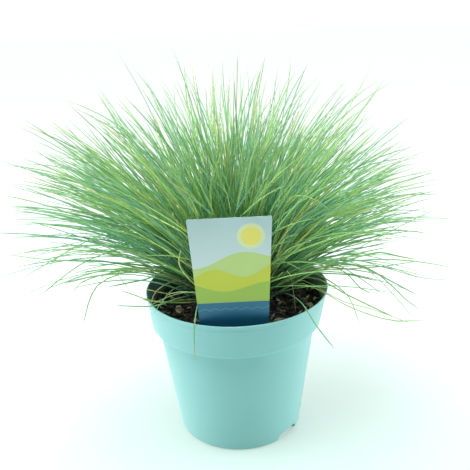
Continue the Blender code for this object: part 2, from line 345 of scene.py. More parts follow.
# %% The pot's section
POT_HEIGHT = 0.1465
RIM_RADIUS = 0.0850
LIP_HEIGHT, LIP_STEP = 0.0035, 0.0004
LIP_CROWN = ((0.0002, 0.0004), (0.0006, 0.0), (0.0009, 0.0001))  # from the rim inwards, and down
COLLAR_FOOT = (0.0815, 0.1138)
BODY_TOP = (0.0761, 0.1130)
BASE_RADIUS = 0.0604
BASE_FILLET = 0.0018
WALL = 0.0013
RIM_SPREAD, RIM_SHIFT = 0.028, 0.0016
OUTER_CORNER, INNER_CORNER = 0.0005, 0.0012  # how far before a corner its rounding starts
MOST_OF_LEG = 0.45  # a rounding takes at most this share of a leg
TURNS = 192


def out_of_round(points):
    """Pulls points above the collar's foot a little out of round, as the soft rim is."""
    points = np.array(points, float)
    share = np.clip((points[..., 2] - COLLAR_FOOT[1]) / (POT_HEIGHT - COLLAR_FOOT[1]), 0.0, 1.0)
    points[..., 0] += (RIM_SPREAD * points[..., 0] + RIM_SHIFT) * share**2
    return points


def soften(line, reach, steps=4):
    """Rounds each inner corner of a line of (radius, height) points, from reach before it."""
    line = [np.array(point) for point in line]
    soft = [line[0]]
    for before, corner, after in zip(line, line[1:], line[2:]):
        legs = [before - corner, after - corner]
        spans = [min(reach, np.linalg.norm(leg) * MOST_OF_LEG) for leg in legs]
        start, end = (corner + leg / np.linalg.norm(leg) * span for leg, span in zip(legs, spans))
        for step in range(steps + 1):
            t = step / steps
            soft.append((1 - t) ** 2 * start + 2 * t * (1 - t) * corner + t * t * end)
    return soft + [line[-1]]


lip_crown = [(RIM_RADIUS - inward, POT_HEIGHT - down) for inward, down in LIP_CROWN]


def pot_outside():
    """The outer section from the lip's outer edge down to the foot, as (radius, height)."""
    return [
        lip_crown[0],
        (RIM_RADIUS - LIP_STEP / 2, POT_HEIGHT - LIP_HEIGHT),
        (RIM_RADIUS - LIP_STEP * 2, POT_HEIGHT - LIP_HEIGHT - LIP_STEP),
        (RIM_RADIUS - LIP_STEP * 1.5, POT_HEIGHT - LIP_HEIGHT - 4 * LIP_STEP),
        (COLLAR_FOOT[0] + LIP_STEP, COLLAR_FOOT[1] + 3 * LIP_STEP),
        (COLLAR_FOOT[0] - LIP_STEP * 1.5, COLLAR_FOOT[1]),
        (BODY_TOP[0] + LIP_STEP, BODY_TOP[1]),
        (BODY_TOP[0] - LIP_STEP / 2, BODY_TOP[1] - 2 * LIP_STEP),
        (BASE_RADIUS + LIP_STEP / 2, BASE_FILLET),
        (BASE_RADIUS - BASE_FILLET, 0.0),
    ]


def pot_inside(inset):
    """The section of what lies inside the wall, from the collar's top down to the floor."""
    below_lip, *ledge = pot_outside()[3:-2]
    side = [(below_lip[0] - inset, below_lip[1])]
    side += [(radius - inset, height + inset) for radius, height in ledge]
    side.append((BASE_RADIUS + LIP_STEP / 2 - inset, BASE_FILLET + inset))
    side.append((BASE_RADIUS - BASE_FILLET - inset, inset))
    return side


def join_rings(bm, rings, turns):
    """Faces between each ring of points and the next; a ring of one point makes triangles."""
    for upper, lower in zip(rings, rings[1:]):
        for i in range(turns):
            ring = (upper[i % len(upper)], upper[(i + 1) % len(upper)])
            ring += (lower[(i + 1) % len(lower)], lower[i % len(lower)])
            bm.faces.new(list(dict.fromkeys(ring)))


def turn_section(section):
    """A closed mesh turned from a section that starts and ends on the axis."""
    azimuths = np.arange(TURNS) * math.tau / TURNS
    bm = bmesh.new()
    rings = []
    for radius, height in section:
        points = toward(azimuths if radius > 0 else azimuths[:1]) * radius
        points[:, 2] = height
        rings.append([bm.verts.new(point) for point in out_of_round(points)])
    join_rings(bm, rings, TURNS)
    return bm


def finish_mesh(bm, name):
    """Turns a bmesh into a mesh with all its faces outward."""
    bmesh.ops.recalc_face_normals(bm, faces=bm.faces)
    mesh = bpy.data.meshes.new(name)
    bm.to_mesh(mesh)
    bm.free()
    return mesh


crest, inner_edge = lip_crown[1:]
section = [(0.0, inner_edge[1]), inner_edge, crest] + pot_outside() + [(0.0, 0.0)]
pot_section = soften(section, OUTER_CORNER)
print("pot section:", len(pot_section), "points")

# %% [markdown]
# ## The pot's arches and slots
# A Boolean cut follows what the mould does: the arch is a block that leaves a hollow, and the
# slot is a pin through the wall beside it. The inside is cut the same way, with the arches
# standing up in it, so the wall keeps its thickness everywhere.

# %% The pot's arches and slots
ARCH_AZIMUTHS = (48.5, 228.5)  # degrees, as the next two
ARCH_HALF_WIDTH = 13.7
SLOT_FROM_END = 0.9
ARCH_HEIGHT, ARCH_DEPTH = 0.0084, 0.0090
ARCH_STEPS = 28
ARCH_END, ARCH_SQUARENESS, ARCH_SPRING = 0.985, 5, 0.6  # a flat crest that drops fast at its ends
PAST_WALL, PAST_FLOOR, PAST_RIM = 0.010, 0.002, 0.010  # how far a cut goes beyond what it cuts
SLOT_WIDTH, SLOT_HEIGHT, SLOT_LIFT = 0.0048, 0.0038, 0.0010
END_SLOT_IN = 0.7 * SLOT_WIDTH


def arch_block(azimuth, grow):
    """The hollow of one drain arch, grown on all sides by what is to stay round it."""
    inner, outer = BASE_RADIUS - ARCH_DEPTH - grow, BASE_RADIUS + PAST_WALL
    half = math.radians(ARCH_HALF_WIDTH) + grow / BASE_RADIUS
    bm = bmesh.new()
    columns = []
    for i in range(ARCH_STEPS + 1):
        share = 2 * i / ARCH_STEPS - 1
        drop = abs(ARCH_END * share) ** ARCH_SQUARENESS
        crest = (ARCH_HEIGHT + grow) * (1 - drop) ** ARCH_SPRING
        across = Vector(toward(math.radians(azimuth) + half * share))
        corners = ((inner, -PAST_FLOOR), (outer, -PAST_FLOOR), (outer, crest), (inner, crest))
        columns.append([bm.verts.new(across * radius + Vector((0, 0, z))) for radius, z in corners])
    for one, following in zip(columns, columns[1:]):
        for a in range(4):
            b = (a + 1) % 4
            bm.faces.new((one[a], one[b], following[b], following[a]))
    bm.faces.new(columns[0])
    bm.faces.new(columns[-1])
    return bm


def slot_pins(azimuth):
    """The three pins of an arch: one through its back wall and one through each end."""
    middle, end = math.radians(azimuth), math.radians(ARCH_HALF_WIDTH - SLOT_FROM_END)
    places = [
        (middle, BASE_RADIUS - ARCH_DEPTH - WALL / 2, middle),
        (middle - end, BASE_RADIUS - END_SLOT_IN, middle - end + math.pi / 2),
        (middle + end, BASE_RADIUS - END_SLOT_IN, middle + end + math.pi / 2),
    ]
    pins = []
    for at, radius, turn in places:
        bm = bmesh.new()
        bmesh.ops.create_cube(bm, size=1.0)
        centre = Vector(toward(at) * radius) + Vector((0, 0, WALL + SLOT_LIFT + SLOT_HEIGHT / 2))
        size = Matrix.Diagonal((SLOT_WIDTH, 4 * WALL, SLOT_HEIGHT, 1.0))
        place = Matrix.Translation(centre) @ Matrix.Rotation(turn, 4, "Z")
        bmesh.ops.transform(bm, matrix=place @ size, verts=bm.verts)
        pins.append(bm)
    return pins


def cut_away(mesh, cutters):
    """Cuts each cutter out of a closed mesh and returns the mesh that is left."""
    body = bpy.data.objects.new("body", mesh)
    scene.collection.objects.link(body)
    tools = []
    for cutter in cutters:
        tool = bpy.data.objects.new("tool", cutter)
        scene.collection.objects.link(tool)
        modifier = body.modifiers.new("cut", "BOOLEAN")
        modifier.operation, modifier.solver, modifier.object = "DIFFERENCE", "EXACT", tool
        tools.append(tool)
    depsgraph = bpy.context.evaluated_depsgraph_get()
    what_is_left = bpy.data.meshes.new_from_object(body.evaluated_get(depsgraph))
    for used in [body] + tools:
        bpy.data.objects.remove(used)
    return what_is_left


# %% [markdown]
# ### Cutting the pot
# The hollow is a turned solid too. An arch that is larger by the wall's thickness is taken out of
# it, so that the wall steps round each arch. Then the hollow, the arches and the slots are cut out
# of the turned pot. Last, each point stores whether it is on the inner wall of the collar, which
# is darkened with painted shade.

# %% Cutting the pot
SHARP_FROM = math.radians(32)
FACES_INWARD = -0.5  # below this, the outward part of a normal says that it is the inner wall's

cavity_section = [(0.0, POT_HEIGHT + PAST_RIM), (RIM_RADIUS - WALL, POT_HEIGHT + PAST_RIM)]
cavity_section += soften([(RIM_RADIUS - WALL, POT_HEIGHT)] + pot_inside(WALL), INNER_CORNER)
cavity_section += [(0.0, WALL)]
cavity = finish_mesh(turn_section(cavity_section), "cavity")
cavity = cut_away(cavity, [finish_mesh(arch_block(a, WALL), "arch") for a in ARCH_AZIMUTHS])
cutters = [finish_mesh(arch_block(a, 0.0), "arch") for a in ARCH_AZIMUTHS] + [cavity]
cutters += [finish_mesh(pin, "pin") for a in ARCH_AZIMUTHS for pin in slot_pins(a)]
pot_mesh = cut_away(finish_mesh(turn_section(pot_section), "pot"), cutters)
pot_mesh.name = "nursery_pot"
pot_mesh.shade_smooth()
pot_mesh.set_sharp_from_angle(angle=SHARP_FROM)
# Points on the collar's inner wall are marked for painted shade.
painted_shade = pot_mesh.attributes.new("painted_shade", "FLOAT", "POINT")
for vert, wall_shading in zip(pot_mesh.vertices, painted_shade.data):
    outward = Vector((vert.co.x, vert.co.y)).normalized() @ vert.normal.xy
    wall_shading.value = float(outward < FACES_INWARD and vert.co.z > COLLAR_FOOT[1])
print("pot:", len(pot_mesh.polygons), "faces")

# %% [markdown]
# ## Moulded polypropylene
# The pot is polypropylene coloured right through, injection moulded in a finely eroded tool. That
# gives a soft satin skin: no mirror, but a broad sheen that turns pale towards the edges. Four
# things break it up: a faint unevenness in the colour where the melt flowed, a spark-eroded grain
# of about 0.4 mm, drawn a touch coarser so that it shows, a short, darker weld mark over the
# collar's foot, to the right of the label, and painted shade, a deep teal that darkens the inner
# wall. The mark is a narrow, tall ellipsoid in the object's own space: what lies within it is
# tinted.

# %% Moulded polypropylene
FLOW_SIZE, GRAIN_SIZE = 38 * MM, 0.6 * MM
WELD_MARK = Vector((0.0279, -0.0766, 0.1180))
WELD_REACH = Vector((0.0006, 0.0100, 0.0036))
WELD_STRENGTH = 0.55
SHADE_LEAST, SHADE_MORE = 0.62, 0.50  # how much painted shade darkens the inner wall, and more where the flow noise is high

polypropylene, tree, shader = new_material("moulded_polypropylene")
place = add_node(tree, "ShaderNodeTexCoord")
flow = add_node(
    tree,
    "ShaderNodeTexNoise",
    values={"Scale": 1 / FLOW_SIZE, "Detail": 2.0, "Roughness": 0.4},
    wires={"Vector": place.outputs["Object"]},
)
grain = add_node(
    tree,
    "ShaderNodeTexNoise",
    values={"Scale": 1 / GRAIN_SIZE, "Detail": 1.0},
    wires={"Vector": place.outputs["Object"]},
)
clean = add_node(
    tree,
    "ShaderNodeMix",
    {"data_type": "RGBA"},
    {6: linear("#83bfbf"), 7: linear("#8bc7c6")},
    {0: flow.outputs["Fac"]},
)

# The weld mark
squeezed = add_node(
    tree,
    "ShaderNodeVectorMath",
    {"operation": "DIVIDE"},
    {1: WELD_REACH},
    {0: place.outputs["Object"]},
)
from_mark = add_node(
    tree,
    "ShaderNodeVectorMath",
    {"operation": "DISTANCE"},
    {1: [at / r for at, r in zip(WELD_MARK, WELD_REACH)]},
    {0: squeezed.outputs["Vector"]},
)
marked = add_node(
    tree,
    "ShaderNodeMapRange",
    values={"From Min": 1.0, "From Max": 0.3, "To Max": WELD_STRENGTH},
    wires={"Value": from_mark.outputs["Value"]},
)
welded = add_node(
    tree,
    "ShaderNodeMix",
    {"data_type": "RGBA"},
    {7: linear("#6fa8a8")},
    {0: marked.outputs["Result"], 6: clean.outputs[2]},
)

# The painted shade on the inner wall
inner_wall = add_node(tree, "ShaderNodeAttribute", {"attribute_name": "painted_shade"})
shading_depth = add_node(
    tree,
    "ShaderNodeMath",
    {"operation": "MULTIPLY_ADD"},
    {1: SHADE_MORE, 2: SHADE_LEAST},
    {0: flow.outputs["Fac"]},
)
wall_shading = add_node(
    tree,
    "ShaderNodeMath",
    {"operation": "MULTIPLY"},
    wires={0: shading_depth.outputs[0], 1: inner_wall.outputs["Fac"]},
)
# The inner wall is darkened towards a deep teal: painted shade.
colour = add_node(
    tree,
    "ShaderNodeMix",
    {"data_type": "RGBA"},
    {7: linear("#18302d")},
    {0: wall_shading.outputs[0], 6: welded.outputs[2]},
)

# The skin
satin = add_node(
    tree,
    "ShaderNodeMapRange",
    values={"From Min": 0.3, "From Max": 0.7, "To Min": 0.40, "To Max": 0.50},
    wires={"Value": flow.outputs["Fac"]},
)
skin = add_node(
    tree,
    "ShaderNodeBump",
    values={"Strength": 0.06, "Distance": 0.1 * MM},
    wires={"Height": grain.outputs["Fac"]},
)
shader.inputs["IOR"].default_value = 1.49
shader.inputs["Sheen Weight"].default_value = 0.70
shader.inputs["Sheen Tint"].default_value = linear("#dfffff")
shader.inputs["Sheen Roughness"].default_value = 0.5
tree.links.new(colour.outputs[2], shader.inputs["Base Color"])
tree.links.new(satin.outputs["Result"], shader.inputs["Roughness"])
tree.links.new(skin.outputs["Normal"], shader.inputs["Normal"])

add_piece("nursery_pot", pot_mesh, [polypropylene], "pot")

# %% [markdown]
# ## The bed of peat
# The pot is filled to about 16 mm under the rim. The mix is one loose mass, so it starts as one
# closed bed with a lumpy top, and the bark and crumbs are strewn on it as separate bits. The top
# is a fine polar grid whose height is four sizes of noise over a gentle heap. The two coarse ones
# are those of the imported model, which leaves the fine ones out.

# %% The bed of peat
SOIL_LEVEL, SOIL_TILT, SOIL_HEAP, SOIL_LUMPS = 0.1300, 0.030, 0.0050, 0.0020
HEAP_STEEPNESS = 1.2
LUMPS = ((1.0, 95, 0.0), (0.6, 210, 0.3))  # share of SOIL_LUMPS, waves a metre, place in the noise
CRUMBS = ((0.0011, 330, 3.1), (0.0006, 800, 7.7))  # height, waves a metre, place in the noise
GAP = 0.0003
BED_TURNS, BED_RINGS = 200, 60


def rough_height(x, y, sizes):
    """A sum of noises at a place on the bed, each with a height and a fineness of its own."""
    return sum(height * noise.noise(Vector((x, y, layer)) * waves) for height, waves, layer in sizes)


def bed_height(x, y):
    """The bed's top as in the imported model: tilted a little, heaped in the middle, and lumpy."""
    heap = SOIL_HEAP * max(0.0, 1 - math.hypot(x, y) / RIM_RADIUS) ** HEAP_STEEPNESS
    return SOIL_LEVEL + SOIL_TILT * x + heap + SOIL_LUMPS * rough_height(x, y, LUMPS)


def bed_top(x, y):
    """The bed's top with its crumbs of 1 to 3 mm."""
    return bed_height(x, y) + rough_height(x, y, CRUMBS)


inset = WALL + GAP
bed_side = pot_inside(inset)
bed_edge = COLLAR_FOOT[0] - inset + 2 * LIP_STEP
bm = bmesh.new()
azimuths = np.arange(BED_TURNS) * math.tau / BED_TURNS
rings = [[bm.verts.new((0, 0, bed_height(0, 0)))]]
for ring in range(1, BED_RINGS + 1):
    points = toward(azimuths) * bed_edge * ring / BED_RINGS
    points[:, 2] = SOIL_LEVEL
    points = out_of_round(points)
    rings.append([bm.verts.new((x, y, bed_top(x, y))) for x, y, _ in points])
for radius, height in bed_side[1:]:
    points = toward(azimuths) * radius
    points[:, 2] = height
    rings.append([bm.verts.new(point) for point in out_of_round(points)])
rings.append([bm.verts.new((0, 0, bed_side[-1][1]))])
join_rings(bm, rings, BED_TURNS)
bed_mesh = finish_mesh(bm, "peat_bed")
bed_mesh = cut_away(bed_mesh, [finish_mesh(arch_block(a, inset), "arch") for a in ARCH_AZIMUTHS])
bed_mesh.name = "peat_bed"
bed_mesh.shade_smooth()
print("bed of peat:", len(bed_mesh.polygons), "faces")

# %% [markdown]
# ## Bits of bark and crumbs of peat
# Graded pine bark is split and tumbled, so each chip is a flat, angular flake 3 to 11 mm long.
# The hull round a dozen random points in a flat box has that look at once: flat faces, sharp
# edges, no two alike. The crumbs of peat are the same, but rounder and smaller. The four split
# chips that catch the eye, right of the label, are given their places; chance has the rest.

# %% Bits of bark and crumbs of peat
BARK_COUNT, CRUMB_COUNT = 520, 1500
BARK_SIZES = ((0.003, 0.0115), (0.24, 0.62), (0.14, 0.34))  # length, then width and height to it
CRUMB_SIZES = ((0.0010, 0.0030), (0.6, 1.0), (0.5, 0.9))
BARK_POINTS, CRUMB_POINTS = 13, 9
BARK_SUNK, CRUMB_SUNK = 0.05, 0.20
SPLIT_CHIPS = [  # x, y, length and tone
    (0.065, -0.014, 0.0110, 1.0),
    (0.067, -0.024, 0.0060, 0.95),
    (0.075, 0.010, 0.0070, 0.97),
    (0.076, -0.003, 0.0055, 0.95),
]
UNDER_CROWN = 0.10  # the share of the bed's area, in its middle, that stays free
FREE_EDGE = 0.0015
BED_SPREAD = RIM_SPREAD * 0.2  # the bed lies low in the collar, where the rim's spread has hardly begun
BOXINESS = 0.75  # 0 is an egg, 1 a box
FLAKE_TILTS = (0.55, 0.45)  # how far a flake tips about its length and its width, in radians
chips = np.random.default_rng(5)


def strewn_bits(count, sizes, points, sunk, first=()):
    """Many hulls of random points, laid on the bed. Returns the mesh with a tone for each bit."""
    bm = bmesh.new()
    tone = bm.verts.layers.float.new("tone")
    places = list(first)
    while len(places) < count:
        azimuth, share = chips.uniform(0, math.tau), math.sqrt(chips.uniform(UNDER_CROWN, 1.0))
        x, y, _ = toward(azimuth) * share * (bed_edge - FREE_EDGE)
        places.append((x * (1 + BED_SPREAD), y, chips.uniform(*sizes[0]), None))
    for x, y, length, own_tone in places:
        size = np.array([length, length * chips.uniform(*sizes[1]), length * chips.uniform(*sizes[2])])
        cloud = chips.normal(size=(points, 3))
        to_box = np.abs(cloud).max(1, keepdims=True)
        to_egg = np.linalg.norm(cloud, axis=1)[:, None]
        cloud /= to_box**BOXINESS * to_egg ** (1 - BOXINESS)
        cloud *= size / 2
        turn = Matrix.Rotation(chips.uniform(0, math.tau), 3, "Z")
        turn = turn @ Matrix.Rotation(chips.normal(0, FLAKE_TILTS[0]), 3, "X")
        turn = turn @ Matrix.Rotation(chips.normal(0, FLAKE_TILTS[1]), 3, "Y")
        middle = Vector((x, y, bed_top(x, y) + size[2] * (0.5 - sunk)))
        bit_tone = chips.uniform(0, 1) if own_tone is None else own_tone
        verts = [bm.verts.new(turn @ Vector(point) + middle) for point in cloud]
        for vert in verts:
            vert[tone] = bit_tone
        made = bmesh.ops.convex_hull(bm, input=verts)
        unused = [g for g in made["geom_interior"] if isinstance(g, bmesh.types.BMVert)]
        bmesh.ops.delete(bm, geom=unused, context="VERTS")
    return bm


bark_bits = strewn_bits(BARK_COUNT, BARK_SIZES, BARK_POINTS, BARK_SUNK, SPLIT_CHIPS)
bark_mesh = finish_mesh(bark_bits, "bark")
crumb_bits = strewn_bits(CRUMB_COUNT, CRUMB_SIZES, CRUMB_POINTS, CRUMB_SUNK)
crumb_mesh = finish_mesh(crumb_bits, "crumbs")
print("bark:", len(bark_mesh.polygons), "faces; crumbs:", len(crumb_mesh.polygons), "faces")
for small in (bark_mesh, crumb_mesh):
    map_each_face(small)

# %% [markdown]
# ## Moist peat
# Peat is half-rotted moss. Moist, it is nearly black and quite matt, and clods of a few
# millimetres show as a faint change of tone and a rough surface.

# %% Moist peat
CLOD_SIZE = 3 * MM

peat, tree, shader = new_material("moist_peat")
place = add_node(tree, "ShaderNodeTexCoord")
clods = add_node(
    tree,
    "ShaderNodeTexNoise",
    values={"Scale": 1 / CLOD_SIZE, "Detail": 6.0, "Roughness": 0.7},
    wires={"Vector": place.outputs["Object"]},
)
colour = add_node(
    tree,
    "ShaderNodeMix",
    {"data_type": "RGBA"},
    {6: linear("#0b0a09"), 7: linear("#3c3832")},
    {0: clods.outputs["Fac"]},
)
rough = add_node(
    tree,
    "ShaderNodeBump",
    values={"Strength": 0.8, "Distance": 0.8 * MM},
    wires={"Height": clods.outputs["Fac"]},
)
shader.inputs["Roughness"].default_value = 0.9
tree.links.new(colour.outputs[2], shader.inputs["Base Color"])
tree.links.new(rough.outputs["Normal"], shader.inputs["Normal"])

add_piece("peat_bed", bed_mesh, [peat], "potting_mix")
add_piece("peat_crumbs", crumb_mesh, [peat], "potting_mix")

# %% [markdown]
# ## Pine bark
# Bark that is still wet is as dark as the peat. It dries to a greyish brown with paler streaks of
# cork, and is tan where the chip is split. The `tone` that each bit carries moves it from wet to
# dry, and the highest tones to split. Its fibres are about a millimetre wide and matt.

# %% Pine bark
FIBRE_SIZE = 1.2 * MM
DRY_FROM, DRY_TO, SPLIT_FROM = 0.38, 0.88, 0.80  # tones

bark, tree, shader = new_material("pine_bark")
place = add_node(tree, "ShaderNodeTexCoord")
tone = add_node(tree, "ShaderNodeAttribute", {"attribute_name": "tone"})
fibre = add_node(
    tree,
    "ShaderNodeTexNoise",
    values={"Scale": 1 / FIBRE_SIZE, "Detail": 4.0, "Roughness": 0.65},
    wires={"Vector": place.outputs["Object"]},
)
streaks = add_node(
    tree,
    "ShaderNodeMapRange",
    values={"From Min": 0.3, "From Max": 0.7},
    wires={"Value": fibre.outputs["Fac"]},
)
dried = add_node(
    tree,
    "ShaderNodeMix",
    {"data_type": "RGBA"},
    {6: linear("#4e463b"), 7: linear("#c9bba2")},
    {0: streaks.outputs["Result"]},
)
how_dry = add_node(
    tree,
    "ShaderNodeMapRange",
    {"interpolation_type": "SMOOTHSTEP"},
    {"From Min": DRY_FROM, "From Max": DRY_TO},
    {"Value": tone.outputs["Fac"]},
)
damp = add_node(
    tree,
    "ShaderNodeMix",
    {"data_type": "RGBA"},
    {6: linear("#171512")},
    {0: how_dry.outputs["Result"], 7: dried.outputs[2]},
)
split = add_node(
    tree,
    "ShaderNodeMix",
    {"data_type": "RGBA"},
    {6: linear("#b39f7c"), 7: linear("#f0e4c8")},
    {0: fibre.outputs["Fac"]},
)
how_split = add_node(
    tree,
    "ShaderNodeMapRange",
    values={"From Min": SPLIT_FROM, "From Max": 1.0},
    wires={"Value": tone.outputs["Fac"]},
)
colour = add_node(
    tree,
    "ShaderNodeMix",
    {"data_type": "RGBA"},
    wires={0: how_split.outputs["Result"], 6: damp.outputs[2], 7: split.outputs[2]},
)
rough = add_node(
    tree,
    "ShaderNodeBump",
    values={"Strength": 0.5, "Distance": 0.4 * MM},
    wires={"Height": fibre.outputs["Fac"]},
)
shader.inputs["Roughness"].default_value = 0.85
tree.links.new(colour.outputs[2], shader.inputs["Base Color"])
tree.links.new(rough.outputs["Normal"], shader.inputs["Normal"])

add_piece("bark_chips", bark_mesh, [bark], "potting_mix")

# %% [markdown]
# ## The label
# A stick-in label is stamped from printed plastic sheet 0.6 mm thick: a panel wider at the top
# than at the foot, on a spike. The stamped edge is crisp, so a bevel of a tenth of a millimetre is
# all that it needs to catch the light.

# %% The label
LABEL_TOP_WIDTH, LABEL_FOOT_WIDTH, LABEL_PANEL = 0.0690, 0.0588, 0.1200
LABEL_CORNER, LABEL_TOP_CORNER, LABEL_THICKNESS = 0.0015, 0.0006, 0.0006
SPIKE_WIDTH, SPIKE_LENGTH, SPIKE_TAPER_FROM, SPIKE_TAPER = 0.0150, 0.0450, 0.7, 0.55
STAMPED_EDGE, STAMPED_ANGLE = 0.1 * MM, 1.2  # the bevel's width, and the angle in radians that takes it
LABEL_TOP = Vector((-0.0025, -0.0805, 0.2430))
LABEL_LEAN, LABEL_ROLL = math.radians(5.0), math.radians(-0.25)
label_turn = Matrix.Rotation(LABEL_ROLL, 4, "Y") @ Matrix.Rotation(LABEL_LEAN, 4, "X")
label_place = Matrix.Translation(LABEL_TOP) @ label_turn


def label_outline():
    """The label's edge in its own plane, clockwise from the top: x to the right, z up."""
    half_top, half_foot, half_spike = LABEL_TOP_WIDTH / 2, LABEL_FOOT_WIDTH / 2, SPIKE_WIDTH / 2
    corner, top_corner = LABEL_CORNER, LABEL_TOP_CORNER
    right_side = [
        (half_top - top_corner * (1 - math.sin(turn)), -top_corner * (1 - math.cos(turn)))
        for turn in np.linspace(0, math.pi / 2, 6)
    ]
    right_side += [
        (half_foot, -LABEL_PANEL + 8 * corner),
        (half_foot - 2.5 * corner, -LABEL_PANEL + 2.5 * corner),
        (half_spike + 4 * corner, -LABEL_PANEL),
        (half_spike, -LABEL_PANEL - 4 * corner),
        (half_spike * SPIKE_TAPER, -LABEL_PANEL - SPIKE_TAPER_FROM * SPIKE_LENGTH),
    ]
    left_side = [(-x, z) for x, z in reversed(right_side)]
    return right_side + [(0.0, -LABEL_PANEL - SPIKE_LENGTH)] + left_side


bm = bmesh.new()
panel = bm.faces.new([bm.verts.new((x, -LABEL_THICKNESS / 2, z)) for x, z in label_outline()])
pushed = bmesh.ops.extrude_face_region(bm, geom=[panel])["geom"]
back = [v for v in pushed if isinstance(v, bmesh.types.BMVert)]
bmesh.ops.translate(bm, vec=(0, LABEL_THICKNESS, 0), verts=back)
edges = [e for e in bm.edges if len(e.link_faces) == 2 and e.calc_face_angle(0) > STAMPED_ANGLE]
bmesh.ops.bevel(bm, geom=edges, offset=STAMPED_EDGE, segments=2, profile=0.5, affect="EDGES")
label_mesh = finish_mesh(bm, "plant_label")
print("label:", len(label_mesh.polygons), "faces, top edge", LABEL_TOP_WIDTH / MM, "mm wide")

# %% [markdown]
# ## Printed polystyrene
# The label is offset printed and then varnished, so it has an even, low gloss over flat inks.
# This one carries a plain landscape of its own: a pale sky, a sun, three rolling fields in lime
# and yellow, and a dark teal band at the foot with a thin wave drawn on it. Each field is all that
# lies under a sine wave, worked out from the label's own millimetres, so the print needs no
# picture. The back is left white.

# %% Printed polystyrene
PRINT_DEPTH = -0.3  # where the printed face lies in the label's thickness, in mm
WAVE_EDGE, DISC_EDGE = 0.12, 0.15  # how soft an ink's edge is to either side, in mm

print_finish, tree, shader = new_material("printed_polystyrene")
place = add_node(tree, "ShaderNodeTexCoord")
in_mm = add_node(
    tree,
    "ShaderNodeVectorMath",
    {"operation": "SCALE"},
    {"Scale": 1 / MM},
    {0: place.outputs["Object"]},
)
axes = add_node(tree, "ShaderNodeSeparateXYZ", wires={0: in_mm.outputs[0]})


def ink(under, mask, colour):
    """Lays one ink over what is printed under it."""
    layer = add_node(tree, "ShaderNodeMix", {"data_type": "RGBA"}, {7: linear(colour)}, {0: mask})
    if isinstance(under, str):
        layer.inputs[6].default_value = linear(under)
    else:
        tree.links.new(under, layer.inputs[6])
    return layer.outputs[2]


def below_wave(level, height, length, start, slope=0.0):
    """A mask of all that lies below a sloping sine wave, in millimetres on the label."""
    turn = add_node(
        tree,
        "ShaderNodeMath",
        {"operation": "MULTIPLY_ADD"},
        {1: math.tau / length, 2: start},
        {0: axes.outputs["X"]},
    )
    wave = add_node(tree, "ShaderNodeMath", {"operation": "SINE"}, wires={0: turn.outputs[0]})
    rise = add_node(
        tree,
        "ShaderNodeMath",
        {"operation": "MULTIPLY_ADD"},
        {1: height, 2: level},
        {0: wave.outputs[0]},
    )
    line = add_node(
        tree,
        "ShaderNodeMath",
        {"operation": "MULTIPLY_ADD"},
        {1: slope},
        {0: axes.outputs["X"], 2: rise.outputs[0]},
    )
    depth = add_node(
        tree,
        "ShaderNodeMath",
        {"operation": "SUBTRACT"},
        wires={0: line.outputs[0], 1: axes.outputs["Z"]},
    )
    edge = add_node(
        tree,
        "ShaderNodeMapRange",
        values={"From Min": -WAVE_EDGE, "From Max": WAVE_EDGE},
        wires={"Value": depth.outputs[0]},
    )
    return edge.outputs["Result"]


def within(radius, x, z):
    """A mask of a disc on the label."""
    away = add_node(
        tree,
        "ShaderNodeVectorMath",
        {"operation": "DISTANCE"},
        {1: (x, PRINT_DEPTH, z)},
        {0: in_mm.outputs[0]},
    )
    edge = add_node(
        tree,
        "ShaderNodeMapRange",
        values={"From Min": radius + DISC_EDGE, "From Max": radius - DISC_EDGE},
        wires={"Value": away.outputs["Value"]},
    )
    return edge.outputs["Result"]


# %% [markdown]
# ### The label's landscape
# The sky is paler towards the ground. On it are the sun and its halo, then the fields and the
# band, each printed over the one before. The card's back is all but white. A coat of varnish, a
# little uneven, makes it shine here more and there less.

# %% The label's landscape
# A disc is its radius and where its middle is; a wave is its level, height, length, start and slope.
DISCS = (
    ((11.5, 17.0, -17.0), "#dfe9b4"),  # the sun's halo
    ((8.0, 17.0, -17.0), "#f1e36a"),  # the sun
)
WAVES = (
    ((-37.0, 5.0, 74.0, 0.9, 0.10), "#bfd884"),  # the far field
    ((-50.0, 5.5, 58.0, 3.4, 0.12), "#c9cf3c"),  # the yellow field
    ((-63.0, 5.0, 82.0, 5.3, -0.05), "#9fbf4a"),  # the near field
    ((-78.5, 0.0, 80.0, 0.0), "#1c6b8e"),  # the band
    ((-84.6, 0.9, 9.0, 0.0), "#3d8aa3"),  # the band's thin wave
    ((-85.6, 0.9, 9.0, 0.0), "#1c6b8e"),  # the band again, under the wave
)
VARNISH_PATCH = 6 * MM

sky_fade = add_node(
    tree,
    "ShaderNodeMapRange",
    values={"From Min": -60.0, "From Max": 0.0},
    wires={"Value": axes.outputs["Z"]},
)
printed = ink("#dbe8e8", sky_fade.outputs["Result"], "#b7d1d4")
for disc, hue in DISCS:
    printed = ink(printed, within(*disc), hue)
for wave, hue in WAVES:
    printed = ink(printed, below_wave(*wave), hue)
behind = add_node(
    tree,
    "ShaderNodeMapRange",
    values={"From Min": 0.0, "From Max": 0.05},
    wires={"Value": axes.outputs["Y"]},
)
colour = ink(printed, behind.outputs["Result"], "#eef3f3")
varnish = add_node(
    tree,
    "ShaderNodeTexNoise",
    values={"Scale": 1 / VARNISH_PATCH, "Detail": 3.0},
    wires={"Vector": place.outputs["Object"]},
)
gloss = add_node(
    tree,
    "ShaderNodeMapRange",
    values={"To Min": 0.30, "To Max": 0.42},
    wires={"Value": varnish.outputs["Fac"]},
)
shader.inputs["IOR"].default_value = 1.55
tree.links.new(colour, shader.inputs["Base Color"])
tree.links.new(gloss.outputs["Result"], shader.inputs["Roughness"])

add_piece("plant_label", label_mesh, [print_finish], "plant_label", label_place)

